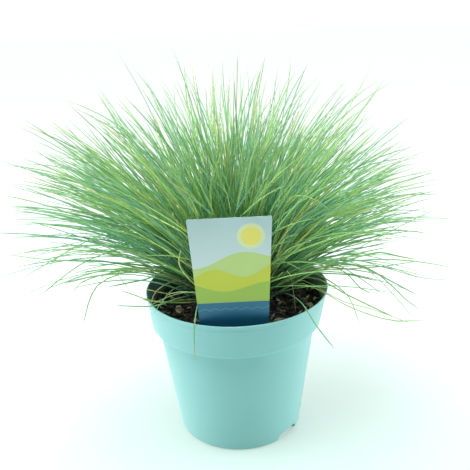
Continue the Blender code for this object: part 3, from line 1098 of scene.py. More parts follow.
# %% [markdown]
# ## How the leaves lie
# Each leaf starts on the crown, a low dome 68 mm across, and leaves it nearly at right angles to
# the dome: upright in the middle, at 25 degrees round the edge, and nearly upright behind the
# label, which holds them back. It then bends over under its own weight, the low ones most. So a
# leaf's middle line is set by where it starts, its azimuth, its elevation, its length and how much
# it bends, and by a little curl to one side and a wave on the way. A line that turns evenly is an
# arc, so its points come from sines and cosines, for all the leaves at once.

# %% How the leaves lie
CROWN_LEVEL, CROWN_RADIUS, CROWN_RISE = 0.1370, 0.0340, 0.0240
LOWEST_LEAF, HIGHEST_LEAF = math.radians(25), math.radians(88)
BEHIND_LABEL_LEAF = math.radians(71)
BEHIND_LABEL = (math.radians(32), math.radians(84))
LEAF_POINTS = 13


def lowest_elevation(azimuth):
    """How flat the lowest leaves lie at an azimuth: steep behind the label, flat elsewhere."""
    away = np.abs(np.remainder(azimuth + math.pi, math.tau) - math.pi)
    start, end = BEHIND_LABEL
    return mix(BEHIND_LABEL_LEAF, LOWEST_LEAF, ease((away - start) / (end - start)))


def uprightness(elevation):
    """0 for the lowest leaves, 1 for an upright one."""
    return np.maximum(0.0, (elevation - LOWEST_LEAF) / (math.pi / 2 - LOWEST_LEAF))


def leaf_lines(roots, azimuth, elevation, length, sag, curl, wave, points=LEAF_POINTS):
    """The middle lines of many leaves, as an array of leaves x points x 3."""
    share = np.linspace(0.0, 1.0, points)[None, :]
    bend = (sag / length)[:, None]
    elevation, azimuth, length = elevation[:, None], azimuth[:, None], length[:, None]
    lowered = elevation - bend * share * length
    out = (np.sin(elevation) - np.sin(lowered)) / bend
    rise = (np.cos(lowered) - np.cos(elevation)) / bend
    aside = length * (curl[:, None] * share**2 + wave[:, None] * np.sin(math.tau * share))
    lines = roots[:, None, :] + toward(azimuth) * out[..., None]
    lines = lines + toward(azimuth + math.pi / 2) * aside[..., None]
    lines[..., 2] += rise
    return lines


low_by_azimuth = np.degrees(lowest_elevation(np.radians([0.0, 60.0, 120.0, 180.0])))
print("lowest leaves, degrees, from the front round to the back:", low_by_azimuth.round(0))

# %% [markdown]
# ## What a leaf keeps clear of
# A real leaf is pushed aside by what it meets. Here a leaf that would pass through the label, the
# pot's wall or the peat is left out, and so is one that reaches too far out or hangs too low, or
# lies flat over the pot's mouth at the front, which is open. The few that do cross the mouth are
# listed one by one further on. Each line is tested at many points.

# %% What a leaf keeps clear of
LABEL_CLEAR = 0.0015
WALL_CLEAR, RIM_CLEAR = 0.0030, 0.0012
CROWN_CLEAR, PEAT_CLEAR = 0.004, 0.0035
MOUTH_FROM, MOUTH_TO, MOUTH_CLEAR = 0.070, 0.020, 0.161  # radius, y, and the height to stay above
LOWEST_TIP = 0.134
PROUD = 0.012


def clear_of_things(lines):
    """True for each line that is clear of the label, wall and peat, and not too far out."""
    x, y, z = (lines[..., i] for i in range(3))
    with_one = np.concatenate([lines, np.ones_like(lines[..., :1])], -1)
    local = with_one @ np.array(label_place.inverted()).T
    half = mix(LABEL_TOP_WIDTH, LABEL_FOOT_WIDTH, np.clip(-local[..., 2] / LABEL_PANEL, 0, 1)) / 2
    near = (np.abs(local[..., 0]) < half + LABEL_CLEAR) & (local[..., 2] < LABEL_CLEAR)
    hits_label = (near & (local[..., 1] < LABEL_CLEAR)).any(1)
    share = np.clip((z - COLLAR_FOOT[1]) / (POT_HEIGHT - COLLAR_FOOT[1]), 0.0, 1.0) ** 2
    round_x = (x - RIM_SHIFT * share) / (1 + RIM_SPREAD * share)
    radius = np.hypot(round_x, y)
    wall = COLLAR_FOOT[0] + (RIM_RADIUS - COLLAR_FOOT[0]) * np.sqrt(share)
    in_wall = (np.abs(radius - wall + WALL / 2) < WALL_CLEAR) & (z < POT_HEIGHT + RIM_CLEAR)
    over_bed = (radius < wall) & (radius > CROWN_RADIUS + CROWN_CLEAR)
    in_peat = over_bed & (z < SOIL_LEVEL + SOIL_TILT * x + PEAT_CLEAR)
    over_mouth = (radius > MOUTH_FROM) & (radius < RIM_RADIUS) & (y < MOUTH_TO)
    in_mouth = over_mouth & (z < MOUTH_CLEAR)
    hangs = z < LOWEST_TIP
    lowest, highest = (np.array(corner) for corner in CAD_BOX)
    too_far = ((lines < lowest - PROUD) | (lines > highest + PROUD)).any(2)
    return ~(hits_label | (in_wall | in_peat | in_mouth | hangs | too_far).any(1))


# %% [markdown]
# ## Growing the clump
# Leaves come in shoots of a few, and both shoots and leaves stray some degrees from the pattern,
# which keeps the clump from looking combed. The clump isn't even. Its low leaves are longer to the
# front and back than to the sides, and a little longer on the left than on the right. The flat
# ones round the edge are the fewest, above all on the left, and the upright ones are shorter and
# fewer too. Low leaves get lower tones, which are darker and bluer: painted shade. Chance has all
# the rest, from a fixed seed, so that the same clump grows each time.

# %% Growing the clump
SHOOTS, LEAVES_A_SHOOT = 325, 6
LEAF_LENGTH = 0.206
LOW_LEAF_SHARE, LOW_LEAF_SHADE_TONE = 0.76, 0.50
TOWARD_RIGHT, TOWARD_BACK, TOWARD_CORNER, ALONG_VIEW = -0.040, 0.045, -0.027, 0.145
TOP_SHORTER, TOP_FROM, TOP_OVER = 0.255, math.radians(60), math.radians(22)
TOP_THINNER, MORE_ON_THE_LEFT = 0.44, 0.50
THIN_FROM, THIN_OVER = math.radians(21.5), math.radians(29)
FLAT_KEPT, FLAT_KEPT_RIGHT = 0.12, 0.09  # the share of the flattest leaves that stays
LOW_SAG, HIGH_SAG, SAG_EASE, LEAST_SAG = math.radians(76), math.radians(10.5), 0.7, 0.02
SHOOT_STRAY, OWN_STRAY = math.radians(5.5), math.radians(7.5)
PAST_UPRIGHT, AROUND_THE_TOP = math.radians(97), 0.35
HEIGHT_EASE = 0.68  # under 1, more shoots stand in the crown's middle than at its edge
ROOTS_IN_CROWN, ROOT_PLACES = 0.004, (0.85, 1.0)
LENGTH_SPREAD, SHOOT_LENGTH = (1.4, 0.65), 0.05  # most leaves are nearly as long as they can be
CURL, WAVE = 0.16, 0.014
TEST_POINTS = 60


def own_length(azimuth, elevation):
    """How long a leaf grows in its direction."""
    low_share = mix(LOW_LEAF_SHARE, 1.0, ease(uprightness(elevation) * 2))
    uneven = TOWARD_RIGHT * np.sin(azimuth) - TOWARD_BACK * np.cos(azimuth)
    uneven += TOWARD_CORNER * np.sin(2 * azimuth) + ALONG_VIEW * np.cos(2 * azimuth)
    return LEAF_LENGTH * low_share * (1 + uneven * np.cos(elevation))


def share_kept(azimuth, elevation):
    """What share of the leaves stays in a direction: few of the flat ones, fewer at the top."""
    fewest = FLAT_KEPT + FLAT_KEPT_RIGHT * np.sin(azimuth)
    share = mix(fewest, 1.0, ease((elevation - THIN_FROM) / THIN_OVER))
    top_thinner = TOP_THINNER * (1 - MORE_ON_THE_LEFT * np.sin(azimuth))
    return share * (1 - top_thinner * ease((elevation - TOP_FROM) / TOP_OVER))


def grow(shoots, each, seed, reach=(0.70, 1.10), wilder=1.0, sag_spread=0.42, lean=0.0, moved=0.3):
    """Leaves over the whole crown: their lines, their elevations and a tone of their own."""
    seeds = np.random.default_rng(seed)
    count = shoots * each
    height = np.repeat(seeds.uniform(0, 1, shoots) ** HEIGHT_EASE, each)
    azimuth = np.repeat(seeds.uniform(-math.pi, math.pi, shoots), each)
    lowest = lowest_elevation(azimuth)
    elevation = mix(lowest, HIGHEST_LEAF, np.arcsin(height) / (math.pi / 2)) - lean
    side = CROWN_RADIUS * np.sqrt(1 - height**2) * seeds.uniform(*ROOT_PLACES, count)
    roots = toward(azimuth + moved * seeds.normal(size=count)) * side[:, None]
    roots[:, 2] = CROWN_LEVEL + CROWN_RISE * height - ROOTS_IN_CROWN
    of_shoot = np.repeat(seeds.normal(size=(shoots, 3)), each, axis=0)
    astray = wilder * (SHOOT_STRAY * of_shoot[:, :2] + OWN_STRAY * seeds.normal(size=(count, 2)))
    elevation = np.minimum(elevation + astray[:, 0], PAST_UPRIGHT)
    azimuth = azimuth + astray[:, 1] / np.maximum(AROUND_THE_TOP, np.cos(elevation))
    length = own_length(azimuth, elevation)
    length *= mix(*reach, seeds.beta(*LENGTH_SPREAD, count)) * (1 + SHOOT_LENGTH * of_shoot[:, 2])
    length *= 1 - TOP_SHORTER * ease((elevation - TOP_FROM) / TOP_OVER)
    sag = mix(LOW_SAG, HIGH_SAG, np.minimum(1.0, uprightness(elevation)) ** SAG_EASE)
    sag *= (1 + sag_spread * seeds.normal(size=count)) * length / LEAF_LENGTH
    sag = np.maximum(sag, LEAST_SAG)
    curl, wave = CURL * seeds.normal(size=count), WAVE * seeds.normal(size=count)
    # Low leaves get lower, darker and bluer tones: painted shade.
    tone = seeds.uniform(0, 1, count) * mix(LOW_LEAF_SHADE_TONE, 1.0, ease(uprightness(elevation) * 2))
    shape = (roots, azimuth, elevation, length, sag, curl, wave)
    kept = clear_of_things(leaf_lines(*shape, points=TEST_POINTS))
    kept &= seeds.uniform(0, 1, count) < share_kept(azimuth, elevation)
    return leaf_lines(*shape)[kept], elevation[kept], tone[kept]


leaves, elevations, tones = grow(SHOOTS, LEAVES_A_SHOOT, seed=1560)
print("green leaves:", len(leaves), "of", SHOOTS * LEAVES_A_SHOOT)

# %% [markdown]
# ## From lines to leaves
# A fescue leaf is rolled shut, so it is a needle with a slight keel, not a flat blade. Three
# sides are enough at this size: the edges catch light on one side and the flanks stay darker.
# It is about 1.5 mm thick over most of its length and runs out to a fine point. All the leaves of
# one part of the clump are joined in one mesh, and each point stores how far `along` its leaf it
# is, the leaf's own `tone`, and how `dry` it is there, for the finish to use. In the spare map
# each leaf has a narrow cell with its sides next to each other.

# %% From lines to leaves
SIDES = 3
FLATNESS = 0.66
LEAF_TAPER = ((0.0, 0.12, 0.70, 0.90, 1.0), (0.95, 1.0, 0.90, 0.60, 0.12))
CELLS_ACROSS = 9  # a leaf's cell is this many times as tall as it is wide
CELL_LEFT, CELL_WIDTH, CELL_FOOT, CELL_HEIGHT = 0.12, 0.76, 0.06, 0.90


def needle_faces(points):
    """The faces of one leaf of so many points, and each corner's place in its cell."""
    share = np.linspace(0.0, 1.0, points)
    faces, corners = [], []
    for ring in range(points - 2):
        here, ahead = ring * SIDES, (ring + 1) * SIDES
        low, high = share[ring], share[ring + 1]
        for k in range(SIDES):
            n = (k + 1) % SIDES
            faces.append((here + k, here + n, ahead + n, ahead + k))
            corners.append(((k, low), (k + 1, low), (k + 1, high), (k, high)))
    last = (points - 2) * SIDES
    for k in range(SIDES):
        faces.append((last + k, last + (k + 1) % SIDES, last + SIDES))
        corners.append(((k, share[-2]), (k + 1, share[-2]), (k + 0.5, 1.0)))
    faces.append((2, 1, 0))
    corners.append(((0.2, -0.02), (1.5, -0.04), (2.8, -0.02)))
    return faces, [corner for face in corners for corner in face]


def leaf_mesh(name, lines, tones, dryness, thickness, taper=LEAF_TAPER, seed=3):
    """Closed three-sided needles along the lines, joined in one mesh."""
    seeds = np.random.default_rng(seed)
    count, points, _ = lines.shape
    share = np.linspace(0.0, 1.0, points)
    ahead = np.gradient(lines, axis=1)
    ahead /= np.linalg.norm(ahead, axis=2, keepdims=True)
    spin = seeds.normal(size=(count, 1, 3))
    across = np.cross(ahead, spin)
    across /= np.linalg.norm(across, axis=2, keepdims=True)
    keel = np.cross(across, ahead)
    half = thickness[:, None] / 2 * np.interp(share, *taper)[None, :]
    turns = math.tau * (np.arange(SIDES) + 0.25) / SIDES
    rings = (
        lines[:, :-1, None, :]
        + across[:, :-1, None, :] * (half[:, :-1, None] * np.cos(turns))[..., None]
        + keel[:, :-1, None, :] * (half[:, :-1, None] * FLATNESS * np.sin(turns))[..., None]
    )
    bodies = rings.reshape(count, -1, 3)
    verts = np.concatenate([bodies, lines[:, -1:, :]], 1)
    per_leaf = verts.shape[1]
    faces, corners = needle_faces(points)
    starts = range(0, count * per_leaf, per_leaf)
    all_faces = [tuple(start + v for v in face) for start in starts for face in faces]
    mesh = bpy.data.meshes.new(name)
    mesh.from_pydata(verts.reshape(-1, 3).tolist(), [], all_faces)
    mesh.shade_smooth()
    along = np.append(np.repeat(share[:-1], SIDES), 1.0)
    values = {
        "along": np.tile(along, count),
        "tone": np.repeat(tones, per_leaf),
        "dry": dryness(along[None, :], tones[:, None]).ravel(),
    }
    for attribute, numbers in values.items():
        stored = mesh.attributes.new(attribute, "FLOAT", "POINT")
        stored.data.foreach_set("value", numbers.astype(np.float32))
    columns = math.ceil(math.sqrt(count * CELLS_ACROSS))
    rows = math.ceil(count / columns)
    row, column = np.divmod(np.arange(count)[:, None], columns)
    sideways, upwards = np.array(corners, float).T
    u = (column + CELL_LEFT + CELL_WIDTH * sideways / SIDES) / columns
    v = (row + CELL_FOOT + CELL_HEIGHT * upwards) / rows
    layer = mesh.uv_layers.new(name="OFBake")
    layer.data.foreach_set("uv", np.stack([u, v], -1).astype(np.float32).ravel())
    return mesh


# %% [markdown]
# ## How dry and how thick a leaf is
# A leaf dies from its tip down. On most green leaves nothing is dry; on one in seven the tip is,
# at most over a quarter of its length. Which ones comes from the leaf's own tone, shuffled. An old
# leaf is straw all along.

# %% How dry and how thick a leaf is
SHUFFLE = 37.0
DRY_TIPS, LONGEST_DRY_TIP, DRY_EDGE = 0.15, 0.25, 0.10
LEAST_DRY = 0.80
THINNEST, THICKEST, LOW_LEAF_THIN = 1.1, 2.1, 0.8


def living(along, tone):
    """How dry a green leaf is along its length."""
    lot = (tone * SHUFFLE) % 1.0
    starts = 1.0 - LONGEST_DRY_TIP * np.maximum(0.0, lot - (1 - DRY_TIPS)) / DRY_TIPS
    return ease((along - starts) / DRY_EDGE)


def dead(along, tone):
    """How dry an old leaf is: straw all along, some of them with a trace of green."""
    return LEAST_DRY + (1 - LEAST_DRY) * tone + 0 * along


def some_thickness(thinnest, thickest, count, seed):
    """A thickness for each of so many leaves, between two limits in millimetres."""
    return np.random.default_rng(seed).uniform(thinnest, thickest, count) * MM


thickness = some_thickness(THINNEST, THICKEST, len(leaves), seed=4)
thickness *= mix(LOW_LEAF_THIN, 1.0, ease(uprightness(elevations) * 2))
print("leaves,", round(thickness.min() / MM, 1), "to", round(thickness.max() / MM, 1), "mm thick")

# %% [markdown]
# ## The fescue's leaf
# The leaves carry a thin wax bloom, which makes them blue-green and quite matt. Young ones are
# fresher and yellower, and a few are nearly lime. Down in the clump each leaf is darkened to a
# bluish teal by painted shade. Towards the tip it is thin and its colour pales and dulls, its own
# fading mixed with painted light that passes through the thin tip, and the very end is sometimes
# straw. The colour is therefore mixed from the three numbers that each leaf carries. A faint
# mottling of a few millimetres varies the straw and the bloom, which is what makes the surface
# rougher or smoother to the eye.

# %% The fescue's leaf
MOTTLE_SIZE = 5 * MM
BY_TONE = ((0.10, "#6ba98e"), (0.45, "#86bf84"), (0.75, "#9ccd7a"), (0.90, "#b1d572"), (1.0, "#c8d870"))
PALE_FROM, PALE_TO = 0.62, 1.10  # along the leaf, 0 at its root and 1 at its tip
# Painted shade darkens each leaf towards its root, down in the clump, to a deep teal.
ROOT_SHADE_FROM, ROOT_SHADE_TO, ROOT_SHADE_MOST = 0.42, 0.04, 0.94

leaf_finish, tree, shader = new_material("fescue_leaf")
place = add_node(tree, "ShaderNodeTexCoord")
along = add_node(tree, "ShaderNodeAttribute", {"attribute_name": "along"})
tone = add_node(tree, "ShaderNodeAttribute", {"attribute_name": "tone"})
dry = add_node(tree, "ShaderNodeAttribute", {"attribute_name": "dry"})
mottle = add_node(
    tree,
    "ShaderNodeTexNoise",
    values={"Scale": 1 / MOTTLE_SIZE, "Detail": 3.0},
    wires={"Vector": place.outputs["Object"]},
)
blade = add_node(tree, "ShaderNodeValToRGB", wires={"Fac": tone.outputs["Fac"]})
stops = blade.color_ramp.elements
for stop, (position, hue) in zip(stops, (BY_TONE[0], BY_TONE[-1])):
    stop.position, stop.color = position, linear(hue)
for position, hue in BY_TONE[1:-1]:
    stops.new(position).color = linear(hue)
# Towards the tip the colour pales and dulls: the leaf's own fading, with painted light passing through the
# thin tip.
to_tip = add_node(
    tree,
    "ShaderNodeMapRange",
    values={"From Min": PALE_FROM, "From Max": PALE_TO},
    wires={"Value": along.outputs["Fac"]},
)
paler = add_node(
    tree,
    "ShaderNodeMix",
    {"data_type": "RGBA"},
    {7: linear("#88b077")},
    {0: to_tip.outputs["Result"], 6: blade.outputs["Color"]},
)
# The painted shade towards the root.
shade_to_root = add_node(
    tree,
    "ShaderNodeMapRange",
    values={"From Min": ROOT_SHADE_FROM, "From Max": ROOT_SHADE_TO, "To Max": ROOT_SHADE_MOST},
    wires={"Value": along.outputs["Fac"]},
)
shaded_at_root = add_node(
    tree,
    "ShaderNodeMix",
    {"data_type": "RGBA"},
    {7: linear("#245c4f")},
    {0: shade_to_root.outputs["Result"], 6: paler.outputs[2]},
)
straw = add_node(
    tree,
    "ShaderNodeMix",
    {"data_type": "RGBA"},
    {6: linear("#b5a668"), 7: linear("#dcd295")},
    {0: mottle.outputs["Fac"]},
)
colour = add_node(
    tree,
    "ShaderNodeMix",
    {"data_type": "RGBA"},
    wires={0: dry.outputs["Fac"], 6: shaded_at_root.outputs[2], 7: straw.outputs[2]},
)
bloom = add_node(
    tree,
    "ShaderNodeMapRange",
    values={"To Min": 0.42, "To Max": 0.62},
    wires={"Value": mottle.outputs["Fac"]},
)
shader.inputs["IOR"].default_value = 1.42
tree.links.new(colour.outputs[2], shader.inputs["Base Color"])
tree.links.new(bloom.outputs["Result"], shader.inputs["Roughness"])
print("leaf colours by tone:", len(stops))

# %% [markdown]
# ## The green leaves as pieces
# All the green leaves grow in one field. They are joined in four pieces by how steeply they stand,
# so that each piece has a place of its own in the clump and none has too many faces.

# %% The green leaves as pieces
BANDS = {  # degrees of elevation
    "low_leaves": (-90, 38),
    "side_leaves": (38, 58),
    "upper_leaves": (58, 76),
    "top_leaves": (76, 180),
}
for name, (low, high) in BANDS.items():
    mine = (elevations >= math.radians(low)) & (elevations < math.radians(high))
    mesh = leaf_mesh(name, leaves[mine], tones[mine], living, thickness[mine], seed=len(name))
    add_piece(name, mesh, [leaf_finish], "grass_clump")

# %% [markdown]
# ## Leaves that cross
# A clump that is only combed outwards looks like a brush. In the real one, here and there a
# young leaf grows across its neighbours. These get the highest tones: partly the fresh colour of a
# young leaf, partly painted light, because they lie on top. They come from the same crown by the
# same rule, only with twice the stray, and from roots that may lie anywhere round the crown, so
# that they lean over it from another side.

# %% Leaves that cross
# Crossing leaves get the highest tones: partly fresh colour, partly painted light for lying on top.
CROSSING_LIT_TONE = 0.60  # the lowest
CROSSING_THICK = (1.2, 2.0)  # from and to, in mm
crossing, _, crossing_tones = grow(460, 1, seed=33, reach=(0.45, 0.95), wilder=2.0, moved=1.3)
crossing_tones = mix(CROSSING_LIT_TONE, 1.0, crossing_tones)
crossing_thickness = some_thickness(*CROSSING_THICK, len(crossing), seed=5)
crossing_mesh = leaf_mesh("crossing_leaves", crossing, crossing_tones, living, crossing_thickness)
add_piece("crossing_leaves", crossing_mesh, [leaf_finish], "grass_clump")

# %% [markdown]
# ## Old leaves
# Last year's leaves are dead and straw-coloured. They are thinner and shorter, bend more unevenly,
# and lean out 12 degrees farther than the green ones that they have made way for.

# %% Old leaves
OLD_LEAN = math.radians(12)
OLD_THICK = (0.6, 1.1)  # from and to, in mm
old, _, old_tones = grow(80, 1, seed=8, reach=(0.4, 0.82), wilder=1.3, sag_spread=0.7, lean=OLD_LEAN)
old_thickness = some_thickness(*OLD_THICK, len(old), seed=6)
old_mesh = leaf_mesh("old_leaves", old, old_tones, dead, old_thickness)
add_piece("old_leaves", old_mesh, [leaf_finish], "grass_clump")

# %% [markdown]
# ## Stray leaves
# Some leaves are seen one by one: those that arch out over the pot's mouth, hang over its rim,
# or droop from the clump's sides with nothing behind them. Such a leaf is listed on its own, as a
# smooth curve through four to seven points in millimetres, from its root to its tip. A few stand
# for one bent twig or a leaf that turns back on itself. They are sorted by colour: green ones,
# fresh lime ones, and straw.

# %% Stray leaves
HANGING = {
    "over_the_front_rim": [
        (-24, -22, 146), (-30, -52, 163), (-34, -80, 160), (-36, -90, 148), (-37, -91, 118),
    ],
    "over_the_right_rim": [(30, -14, 142), (46, -35, 152), (58, -62, 154), (67, -82, 144), (83, -90, 123)],
    "left_lowest": [(-24, -14, 146), (-49, -36, 153), (-71, -50, 153), (-86, -54, 155), (-108, -58, 159)],
    "left_above_rim": [(-24, -10, 150), (-53, -40, 165), (-64, -58, 161), (-72, -68, 153)],
    "right_long": [
        (26, 6, 152), (60, 8, 163), (112, 10, 164), (141, 10, 155), (187, 6, 141), (214, 4, 140),
    ],
    "right_droop_one": [(28, 2, 150), (62, 2, 162), (120, 0, 161), (140, -4, 151), (176, -12, 131)],
    "right_droop_two": [
        (27, -4, 152), (60, -6, 168), (112, -8, 168), (131, -12, 156), (156, -20, 129), (168, -24, 113),
    ],
    "right_droop_three": [
        (27, 2, 150), (62, 2, 163), (101, 0, 165), (136, -4, 153), (164, -16, 128), (176, -20, 120),
    ],
    "right_droop_four": [(26, -8, 152), (60, -16, 174), (88, -20, 175), (120, -26, 156), (138, -30, 142)],
    "left_arc": [(-24, -6, 156), (-72, -30, 222), (-98, -34, 223), (-139, -42, 208), (-193, -52, 181)],
    "left_level": [(-26, -4, 152), (-77, -18, 177), (-104, -20, 183), (-169, -20, 189), (-210, -20, 197)],
    "left_hook": [
        (-24, -6, 156), (-70, -16, 208), (-97, -20, 213), (-126, -24, 209), (-164, -30, 190),
        (-173, -32, 174),
    ],
    "left_droop": [(-26, -12, 150), (-60, -30, 178), (-84, -40, 186), (-120, -50, 188), (-164, -58, 177)],
    "right_down": [
        (29, -8, 144), (72, -18, 163), (87, -28, 159), (94, -32, 155), (104, -38, 145), (113, -46, 118),
    ],
    "right_thick": [
        (28, 0, 150), (67, -8, 160), (83, -12, 160), (108, -16, 159), (118, -18, 157), (135, -24, 154),
    ],
    "right_short_drop": [
        (28, -2, 150), (81, -6, 165), (98, -8, 162), (108, -10, 155), (119, -14, 143), (131, -18, 138),
    ],
    "right_level_high": [
        (26, 6, 156), (93, 8, 158), (122, 8, 167), (141, 6, 171), (154, 4, 168), (180, 0, 163),
    ],
    "right_level_low": [
        (26, 4, 152), (82, 4, 156), (108, 2, 157), (143, 0, 159), (160, -2, 162), (176, -4, 165),
    ],
    "left_olive": [(-26, -10, 150), (-67, -22, 171), (-81, -28, 169), (-91, -32, 169), (-117, -40, 168)],
    "left_long_drop": [
        (-26, -8, 152), (-68, -20, 176), (-100, -32, 178), (-123, -38, 170), (-133, -42, 153),
        (-139, -46, 133),
    ],
    "left_drop_two": [
        (-26, -8, 151), (-67, -20, 175), (-103, -32, 180), (-127, -40, 178), (-139, -42, 173),
        (-146, -46, 163),
    ],
    "left_level_two": [
        (-26, -4, 153), (-66, -12, 172), (-83, -18, 178), (-104, -22, 183), (-144, -30, 185),
    ],
    "left_slant": [
        (-26, -6, 156), (-94, -20, 197), (-117, -26, 195), (-138, -32, 188), (-161, -40, 174),
        (-176, -44, 163),
    ],
    "left_turned_back": [
        (-26, -8, 151), (-72, -22, 175), (-99, -30, 181), (-105, -34, 179), (-101, -38, 174),
        (-94, -42, 165),
    ],
    "left_bundle_one": [
        (-26, -6, 152), (-69, -14, 175), (-85, -20, 177), (-99, -24, 178), (-111, -28, 178),
        (-125, -32, 173),
    ],
    "left_bundle_two": [
        (-26, -6, 152), (-69, -16, 171), (-95, -26, 176), (-109, -28, 180), (-123, -30, 181),
        (-139, -34, 180),
    ],
}
LIME = {
    "left_across_mouth": [
        (-26, -24, 145), (-38, -34, 147), (-55, -40, 150), (-72, -44, 154), (-86, -46, 158),
    ],
    "left_low": [
        (-26, -20, 145), (-60, -38, 150), (-70, -44, 154), (-81, -44, 157), (-94, -44, 163),
        (-104, -44, 167),
    ],
    "bent_back": [
        (24, -20, 148), (28, -44, 170), (32, -50, 175), (38, -50, 176), (45, -50, 181), (50, -50, 174),
        (45, -50, 172),
    ],
    "over_the_rim_and_out": [
        (28, -12, 143), (59, -32, 160), (83, -44, 153), (98, -48, 144), (136, -60, 133), (168, -66, 135),
    ],
    "over_the_rim_two": [
        (29, -10, 143), (61, -28, 161), (84, -40, 152), (98, -44, 145), (121, -50, 140), (163, -58, 124),
    ],
    "over_the_rim_three": [
        (29, -8, 145), (70, -20, 160), (86, -30, 157), (98, -34, 150), (114, -38, 142), (149, -48, 126),
    ],
    "across_the_left": [
        (-22, -20, 158), (-40, -78, 204), (-60, -75, 219), (-86, -61, 231), (-135, -30, 252),
    ],
    "across_the_left_two": [
        (-20, -22, 160), (-39, -76, 229), (-50, -74, 236), (-85, -53, 248), (-111, -40, 254),
    ],
    "beside_the_label": [(-20, -24, 150), (-37, -70, 184), (-45, -80, 204), (-42, -86, 221)],
    "arched_right": [
        (26, -18, 156), (34, -48, 205), (46, -70, 253), (56, -74, 257), (69, -76, 252), (83, -76, 240),
    ],
    "pale_right": [(28, -18, 152), (36, -50, 190), (43, -70, 219), (48, -74, 223), (56, -74, 223)],
    "level_right": [(28, -16, 152), (36, -50, 190), (48, -68, 210), (57, -70, 214), (67, -70, 215)],
    "tall_one": [(4, 4, 160), (7, 0, 300), (9, 0, 332), (11, 0, 366)],
    "tall_two": [(8, 2, 160), (19, 0, 287), (26, 0, 322), (35, 0, 363)],
}
STRAW = {
    "arch_in_the_mouth": [
        (-24, -8, 150), (-49, -25, 165), (-59, -42, 171), (-71, -55, 167), (-75, -60, 154),
    ],
    "tan_in_the_mouth": [
        (-26, -20, 142), (-55, -38, 153), (-61, -36, 157), (-68, -36, 159), (-84, -30, 161),
    ],
    "tan_right": [(28, -18, 152), (36, -55, 195), (46, -72, 230), (53, -74, 241)],
    "twig": [(51, -38, 168), (52, -40, 158), (53, -42, 148), (54, -43, 136)],
}


# %% [markdown]
# ### From a route to a smooth leaf
# Between two points of a route the leaf is a cubic curve, which also has the right direction at
# both. The direction at a point comes from its two neighbours. Stretches count by the root of
# their length, which keeps the curve from swinging out beside a short one.

# %% From a route to a smooth leaf
STRAY_TAPER = ((0.0, 0.12, 0.80, 0.95, 1.0), (0.95, 1.0, 0.95, 0.70, 0.20))
STRAY_KINDS = (  # name, routes, lowest and highest tone, dryness, thinnest and thickest in mm
    ("stray_leaves", HANGING, (0.35, 0.90), living, (1.2, 1.9)),
    ("lime_leaves", LIME, (0.92, 1.0), living, (1.2, 1.7)),
    ("straw_leaves", STRAW, (0.0, 0.90), dead, (1.1, 1.5)),
)


def smooth_line(points):
    """A smooth line of LEAF_POINTS points through the points of a route in millimetres."""
    points = np.array(points, float) * MM
    steps = np.linalg.norm(np.diff(points, axis=0), axis=1) ** 0.5
    at = np.append(0.0, np.cumsum(steps))
    slopes = np.gradient(points, at, axis=0)
    line = []
    for t in np.linspace(0.0, at[-1], LEAF_POINTS):
        i = min(np.searchsorted(at, t, side="right") - 1, len(points) - 2)
        span, u = at[i + 1] - at[i], (t - at[i]) / (at[i + 1] - at[i])
        line.append(
            (2 * u**3 - 3 * u**2 + 1) * points[i]
            + (u**3 - 2 * u**2 + u) * span * slopes[i]
            + (3 * u**2 - 2 * u**3) * points[i + 1]
            + (u**3 - u**2) * span * slopes[i + 1]
        )
    return line


for name, routes, tone_range, dryness, thickness_range in STRAY_KINDS:
    lines = np.array([smooth_line(route) for route in routes.values()])
    stray_tones = np.linspace(*tone_range, len(lines))
    thickness = some_thickness(*thickness_range, len(lines), seed=7)
    mesh = leaf_mesh(name, lines, stray_tones, dryness, thickness, taper=STRAY_TAPER)
    add_piece(name, mesh, [leaf_finish], "grass_clump")

# %% [markdown]
# ## Sheaths
# Under the leaves, each shoot stands in the papery sheaths of its older leaves, which reach down
# into the soil. Packed side by side they fill the crown, so that no gap shows under the clump
# from low down. A sheath is a thick short needle from the soil to where its leaves come out, bent
# outwards a little.

# %% Sheaths
SHEATH_COUNT, SHEATH_POINTS = 640, 7
SHEATH_TAPER = ((0.0, 0.5, 1.0), (0.9, 1.0, 0.55))
SHEATH_FOOT, SHEATH_IN_SOIL, SHEATH_BULGE = 0.72, 0.002, 0.0015
SHEATH_HEIGHT_EASE, SHEATH_PLACES = 0.8, (0.8, 1.0)
SHEATH_THICK = (2.0, 3.2)  # from and to, in mm
sheath_seeds = np.random.default_rng(12)
height = sheath_seeds.uniform(0, 1, SHEATH_COUNT) ** SHEATH_HEIGHT_EASE
azimuth = sheath_seeds.uniform(-math.pi, math.pi, SHEATH_COUNT)
side = CROWN_RADIUS * np.sqrt(1 - height**2)
side *= sheath_seeds.uniform(*SHEATH_PLACES, SHEATH_COUNT)
upper = toward(azimuth) * side[:, None]
upper[:, 2] = CROWN_LEVEL + CROWN_RISE * height
lower = upper * (SHEATH_FOOT, SHEATH_FOOT, 0.0) + (0.0, 0.0, SOIL_LEVEL - SHEATH_IN_SOIL)
middle = (upper + lower) / 2 + toward(azimuth) * SHEATH_BULGE
share = np.linspace(0.0, 1.0, SHEATH_POINTS)[None, :, None]
sheath_lines = (
    lower[:, None, :] * (1 - share) ** 2
    + middle[:, None, :] * 2 * share * (1 - share)
    + upper[:, None, :] * share**2
)
sheath_thickness = some_thickness(*SHEATH_THICK, SHEATH_COUNT, seed=9)
sheath_mesh = leaf_mesh(
    "leaf_sheaths", sheath_lines, height, dead, sheath_thickness, taper=SHEATH_TAPER
)
print("sheaths:", len(sheath_lines))

# %% [markdown]
# ## Papery sheath
# A dead sheath is like thin brown paper: matt, streaked along its veins, and paler where it is
# thin. Veins of about 2 mm vary its colour, its roughness and its surface.

# %% Papery sheath
VEIN_SIZE = 2 * MM

